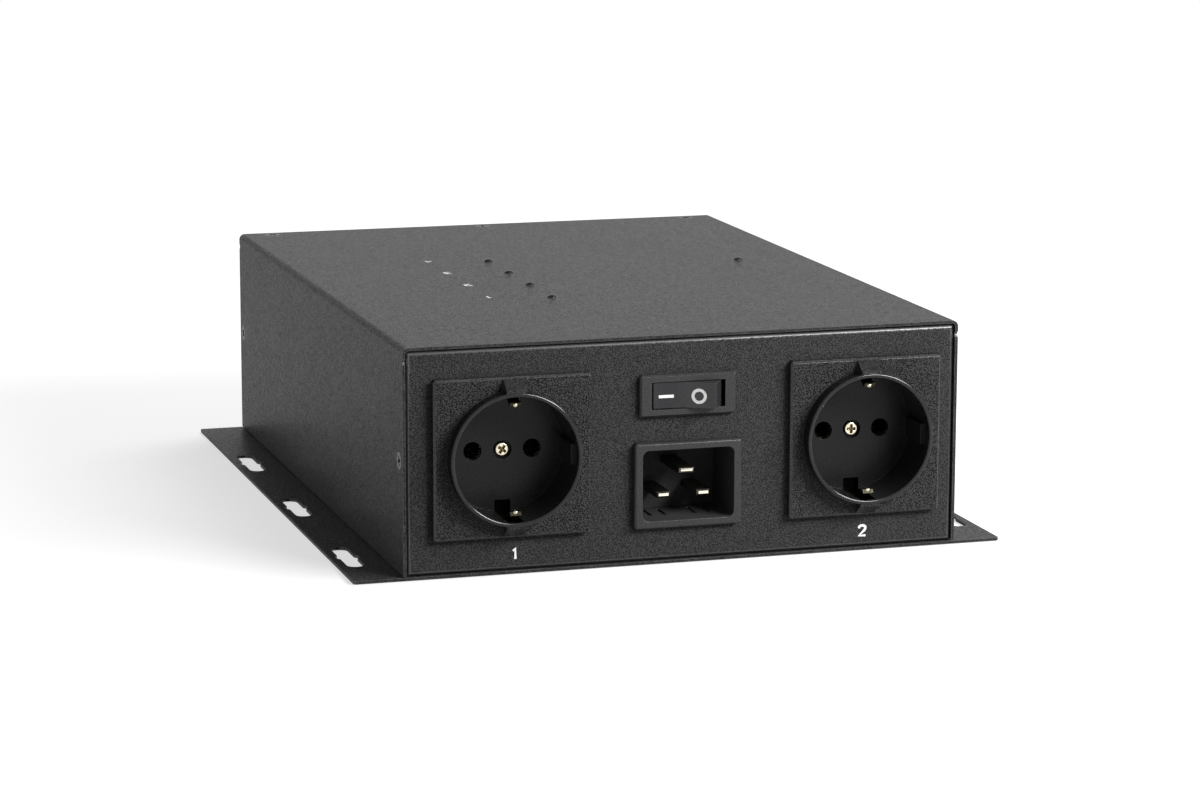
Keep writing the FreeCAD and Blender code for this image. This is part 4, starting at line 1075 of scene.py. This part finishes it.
@dataclass
class Lamps:
    """Five domed lamps in the cover's top."""

    row_x: float = -20.3
    row_y: Floats = (-43.5, -17.3, 8.9, 35.1)
    link: Pair = (63.9, 15.2)
    top: float = CASE_TOP
    radius: float = 1.5
    stand: float = 0.9
    sink: float = 0.15
    flange: float = 0.5
    shoulder: float = 1.0
    length: float = 6.0
    arcs: int = 14
    around: int = 48

    def build(self) -> None:
        """Make the lamps."""
        for number, y in enumerate(self.row_y, start=1):
            self.lamp(f"outlet_lamp_{number}", (self.row_x, y, self.top))
        self.lamp("link_lamp", (*self.link, self.top))

    def lamp(self, node: str, where: Triple) -> None:
        """One lamp, turned from a quarter ellipse over a straight stem with a flange.

        Args:
            node: CAD node that it stands for.
            where: middle of its hole in millimetres.
        """
        t = np.linspace(0.0, math.pi / 2.0, self.arcs)
        wide = self.radius + self.flange
        radii = np.concatenate([self.radius * np.sin(t), [self.radius, wide, wide, 0.0]])
        stem = [-self.shoulder, -self.shoulder, -self.length, -self.length]
        heights = np.concatenate([(self.stand + self.sink) * np.cos(t) - self.sink, stem])
        points = to_row(turned(radii, heights, self.around), frame_matrix(where, *Turn.UP.value))
        Surface(f"{node}_dome").grid(points, around=True).finish(SMOKED_LENS, CASE_BODY, Slot.LENS, (node,))


class Numeral(Enum):
    """Plain numerals as one stroke each, in a box one unit wide and 1.4 units high."""

    ONE = ((0.18, 1.12), (0.5, 1.4), (0.5, 0.0))
    TWO = (
        ((0.04, 1.02), (0.08, 1.26), (0.3, 1.4), (0.7, 1.4), (0.94, 1.24))
        + ((0.96, 0.96), (0.8, 0.72), (0.04, 0.0), (1.0, 0.0))
    )
    THREE = (
        ((0.04, 1.4), (0.94, 1.4), (0.5, 0.86), (0.76, 0.84), (0.96, 0.62))
        + ((0.96, 0.26), (0.72, 0.02), (0.28, 0.0), (0.04, 0.2))
    )
    FOUR = ((0.74, 0.0), (0.74, 1.4), (0.0, 0.42), (1.0, 0.42))


@dataclass
class Legends:
    """White numerals: one beside each outlet lamp, one under each outlet."""

    stroke: float = 0.34
    lift: float = 0.02
    height: float = 4.0
    box: Pair = (1.0, 1.4)
    mitre_limit: float = 0.6
    lamp_x: float = -40.3
    lamp_y: Floats = (-38.05, -12.35, 13.95, 40.15)
    top: float = CASE_TOP
    outlet_x: Floats = (-54.6, 58.9, 54.6, -58.9)
    outlet_z: float = 6.2
    face: float = PANEL_FACE

    def build(self) -> None:
        """Print every numeral."""
        for number, (digit, y) in enumerate(zip(Numeral, self.lamp_y), start=1):
            local = frame_matrix((self.lamp_x, y, self.top), *Turn.UP_TURNED.value)
            self.stamp(f"lamp_numeral_{number}", digit, local)
        for number, (digit, x, (_, far)) in enumerate(zip(Numeral, self.outlet_x, OUTLETS), start=1):
            turn = Turn.FAR if far else Turn.NEAR
            local = frame_matrix((x, self.face if far else -self.face, self.outlet_z), *turn.value)
            self.stamp(f"outlet_numeral_{number}", digit, local)

    def stamp(self, name: str, digit: Numeral, local: np.ndarray) -> None:
        """Print one numeral: a ribbon of even width along its stroke, mitred at the corners.

        Args:
            name: name of the piece.
            digit: which numeral.
            local: frame of the surface that it lies on, origin at the numeral's middle.
        """
        scale = self.height / (self.box[1] + self.stroke)
        centre = np.array(digit.value) - np.array(self.box) / 2.0
        step = np.diff(centre, axis=0)
        unit = step / np.linalg.norm(step, axis=1, keepdims=True)
        normal = np.stack([-unit[:, 1], unit[:, 0]], axis=-1)
        before = np.vstack([normal[:1], normal])
        after = np.vstack([normal, normal[-1:]])
        mitre = before + after
        mitre = mitre / np.maximum((mitre * after).sum(axis=1, keepdims=True), self.mitre_limit)
        half = self.stroke / 2.0
        edges = np.stack([centre - mitre * half, centre + mitre * half]) * scale
        flat = np.concatenate([edges, np.full((*edges.shape[:2], 1), self.lift)], axis=-1)
        Surface(name).grid(to_row(flat, local)).finish(WHITE_PRINT, CASE_BODY, Slot.PAINT)


@dataclass
class NetworkJack:
    """The network jack: tinned shield, black mouth and eight slanting spring wires."""

    wires: int = 8
    pitch: float = 1.02
    half_width: float = 0.2
    root: Pair = (119.6, 22.2)
    tip: Pair = (111.5, 18.4)

    def build(self) -> None:
        """Dress the shield and string the wires."""
        dress(("network_jack",), TINNED_SHIELD)
        surface = Surface("network_jack_wires")
        for number in range(self.wires):
            surface.grid(self.wire_points((number - (self.wires - 1) / 2.0) * self.pitch), around=True)
        surface.finish(GILT_WIRE, CASE_BODY, Slot.CONTACT)

    def wire_points(self, x: float) -> np.ndarray:
        """A square bar from root to tip: end + half width times (corner x, 0, corner z), with closed ends.

        Args:
            x: middle of the wire in millimetres.

        Returns:
            Grid of points in metres, ends down the rows and corners along the columns.
        """
        square = np.array([(-1.0, 0.0, -1.0), (1.0, 0.0, -1.0), (1.0, 0.0, 1.0), (-1.0, 0.0, 1.0)])
        ends = np.array([(x, *self.root), (x, *self.root), (x, *self.tip), (x, *self.tip)])
        open_rows = np.array([0.0, 1.0, 1.0, 0.0])[:, None, None]
        return (ends[:, None, :] + open_rows * self.half_width * square[None]) * MM


@dataclass
class Inside:
    """The board and wires in the closed case."""

    blocks: Names = ("supply_module", "controller_chip", "lamp_leads")
    relays: Names = ("relay_1", "relay_2", "relay_3", "relay_4")

    def dress(self) -> None:
        """Give each inner node its finish."""
        dress(("control_board",), SOLDER_MASK)
        dress(("board_supports",), NATURAL_NYLON)
        dress(self.relays + self.blocks, DARK_MOULDING)
        dress(("terminal_blocks",), GREEN_BLOCK)
        dress(("earth_tab",), SPRING_STRIP)
        dress(("line_wires", "inlet_line_lead", "switch_line_lead"), BROWN_WIRE)
        dress(("neutral_wires",), BLUE_WIRE)
        dress(("earth_wires", "inlet_earth_lead"), GREEN_YELLOW_WIRE)


# Surroundings


def seen_rays(nodes: Nodes, other: float, seen: float) -> Socket:
    """A strength that differs for rays that show the background.

    Args:
        nodes: node tree to build in.
        other: strength for lighting rays.
        seen: strength for camera, glossy and transmission rays.

    Returns:
        The strength.
    """
    path = nodes.add("ShaderNodeLightPath")
    rays = (path.outputs[f"Is {kind} Ray"] for kind in ("Camera", "Glossy", "Transmission"))
    either = nodes.join("MAXIMUM", *rays)
    return nodes.spread(either, UNIT, (other, seen))


@dataclass(frozen=True)
class SoftLamp:
    """A rectangular soft lamp: place, aim and sides in metres, watts, and whether gloss mirrors it."""

    name: str
    where: Triple
    aim: Triple
    size: Pair
    power: float
    mirrored: bool = False


@dataclass
class Studio:
    """Pale floor, white surroundings, soft lamps and the camera."""

    lamps: tuple[SoftLamp, ...] = (
        SoftLamp("key", (0.50, -0.62, 0.46), (0.03, -0.12, 0.04), (0.6, 0.2), 12.4, True),
        SoftLamp("overhead", (0.35, 0.45, 0.75), (0.0, 0.05, 0.05), (0.4, 0.4), 4.5),
        SoftLamp("far", (0.15, 0.95, 0.045), (0.0, 0.12, 0.04), (0.3, 0.06), 4.0),
        SoftLamp("left", (-0.95, 0.35, 0.045), (-0.09, 0.0, 0.04), (0.3, 0.06), 1.2),
    )
    ambient: float = 0.25
    backdrop: float = 1.0
    floor_span: float = 6.0
    floor_lines: int = 3
    floor_drop: float = 0.0002
    floor_tone: float = 0.45
    floor_roughness: float = 0.9
    floor_gloss: float = 0.1
    floor_glow: float = 0.6
    floor_fade: Pair = (0.4, 0.9)
    eye: Triple = (-0.355125, -1.195820, 0.270360)
    heading: Triple = (0.2863, 0.9391, -0.1902)
    roll: float = 0.139
    lens: float = 112.07
    sensor: float = 36.0
    clip: Pair = (0.05, 30.0)

    def build(self) -> None:
        """Set up everything round the object."""
        bpy.context.scene.view_settings.view_transform = "Standard"
        self.floor()
        self.surroundings()
        for lamp in self.lamps:
            self.hang(lamp)
        self.camera()

    def floor(self) -> None:
        """A flat pale floor that shows white, keeps the shadow and fades out far away."""
        side = np.linspace(-self.floor_span, self.floor_span, self.floor_lines)
        x, y = np.meshgrid(side, side)
        points = np.stack([x, y, np.full_like(x, -self.floor_drop)], axis=-1)
        mesh = Surface("studio_floor").grid(points).mesh()
        mesh.materials.append(self.floor_material())
        floor = bpy.data.objects.new("studio_floor", mesh)
        bpy.context.scene.collection.objects.link(floor)

    def floor_material(self) -> bpy.types.Material:
        """A dull pale surface with a glow for the rays that show it, clear beyond the fade.

        Returns:
            The material.
        """
        graph = NodeGraph("pale_floor")
        graph.shader.inputs["Base Color"].default_value = (*[self.floor_tone] * 3, 1.0)
        graph.shader.inputs["Roughness"].default_value = self.floor_roughness
        graph.shader.inputs["Specular IOR Level"].default_value = self.floor_gloss
        glow = graph.add("ShaderNodeEmission")
        glow.inputs["Color"].default_value = WHITE
        graph.link(seen_rays(graph, 0.0, self.floor_glow), glow.inputs["Strength"])
        both = graph.add("ShaderNodeAddShader", graph.shader.outputs["BSDF"])
        graph.link(glow.outputs["Emission"], both.inputs[1])
        reach = graph.vector("LENGTH", graph.place)
        faded = graph.add("ShaderNodeMixShader", graph.spread(reach, self.floor_fade))
        graph.link(both.outputs["Shader"], faded.inputs[1])
        graph.link(graph.add("ShaderNodeBsdfTransparent").outputs["BSDF"], faded.inputs[2])
        graph.link(faded.outputs["Shader"], graph.output.inputs["Surface"])
        return graph.material

    def surroundings(self) -> None:
        """White to the camera and in reflections, a softer light for everything else."""
        world = bpy.data.worlds.new("white_room")
        bpy.context.scene.world = world
        world.use_nodes = True
        nodes = Nodes(world.node_tree)
        back = world.node_tree.nodes["Background"]
        back.inputs["Color"].default_value = WHITE
        nodes.link(seen_rays(nodes, self.ambient, self.backdrop), back.inputs["Strength"])

    def hang(self, lamp: SoftLamp) -> None:
        """Hang one lamp out of the camera's sight.

        Args:
            lamp: its place, shape and power.
        """
        data = bpy.data.lights.new(lamp.name, "AREA")
        data.shape = "RECTANGLE"
        data.size, data.size_y = lamp.size
        data.energy = lamp.power
        piece = bpy.data.objects.new(lamp.name, data)
        piece.location = lamp.where
        piece.rotation_mode = "QUATERNION"
        piece.rotation_quaternion = (Vector(lamp.aim) - Vector(lamp.where)).to_track_quat("-Z", "Y")
        piece.visible_camera = False
        piece.visible_glossy = lamp.mirrored
        bpy.context.scene.collection.objects.link(piece)

    def camera(self) -> None:
        """The camera at the photograph's viewpoint, for an image of 1200 by 800."""
        data = bpy.data.cameras.new("viewpoint")
        data.lens = self.lens
        data.sensor_width = self.sensor
        data.sensor_fit = "HORIZONTAL"
        data.clip_start, data.clip_end = self.clip
        camera = bpy.data.objects.new("viewpoint", data)
        camera.location = self.eye
        camera.rotation_mode = "QUATERNION"
        aim = Vector(self.heading).to_track_quat("-Z", "Y")
        camera.rotation_quaternion = aim @ Quaternion((0.0, 0.0, 1.0), math.radians(self.roll))
        bpy.context.scene.collection.objects.link(camera)
        bpy.context.scene.camera = camera


def main() -> None:
    """Build every sub-assembly in order."""
    logging.basicConfig(level=logging.INFO, format="%(name)s: %(message)s")
    Case().dress()
    CaseScrews().build()
    for number, (x, far) in enumerate(OUTLETS, start=1):
        Outlet(number, x, far).build()
    Inlet().dress()
    RockerSwitch().build()
    Lamps().build()
    Legends().build()
    NetworkJack().build()
    Inside().dress()
    Studio().build()


if __name__ == "__main__":
    main()
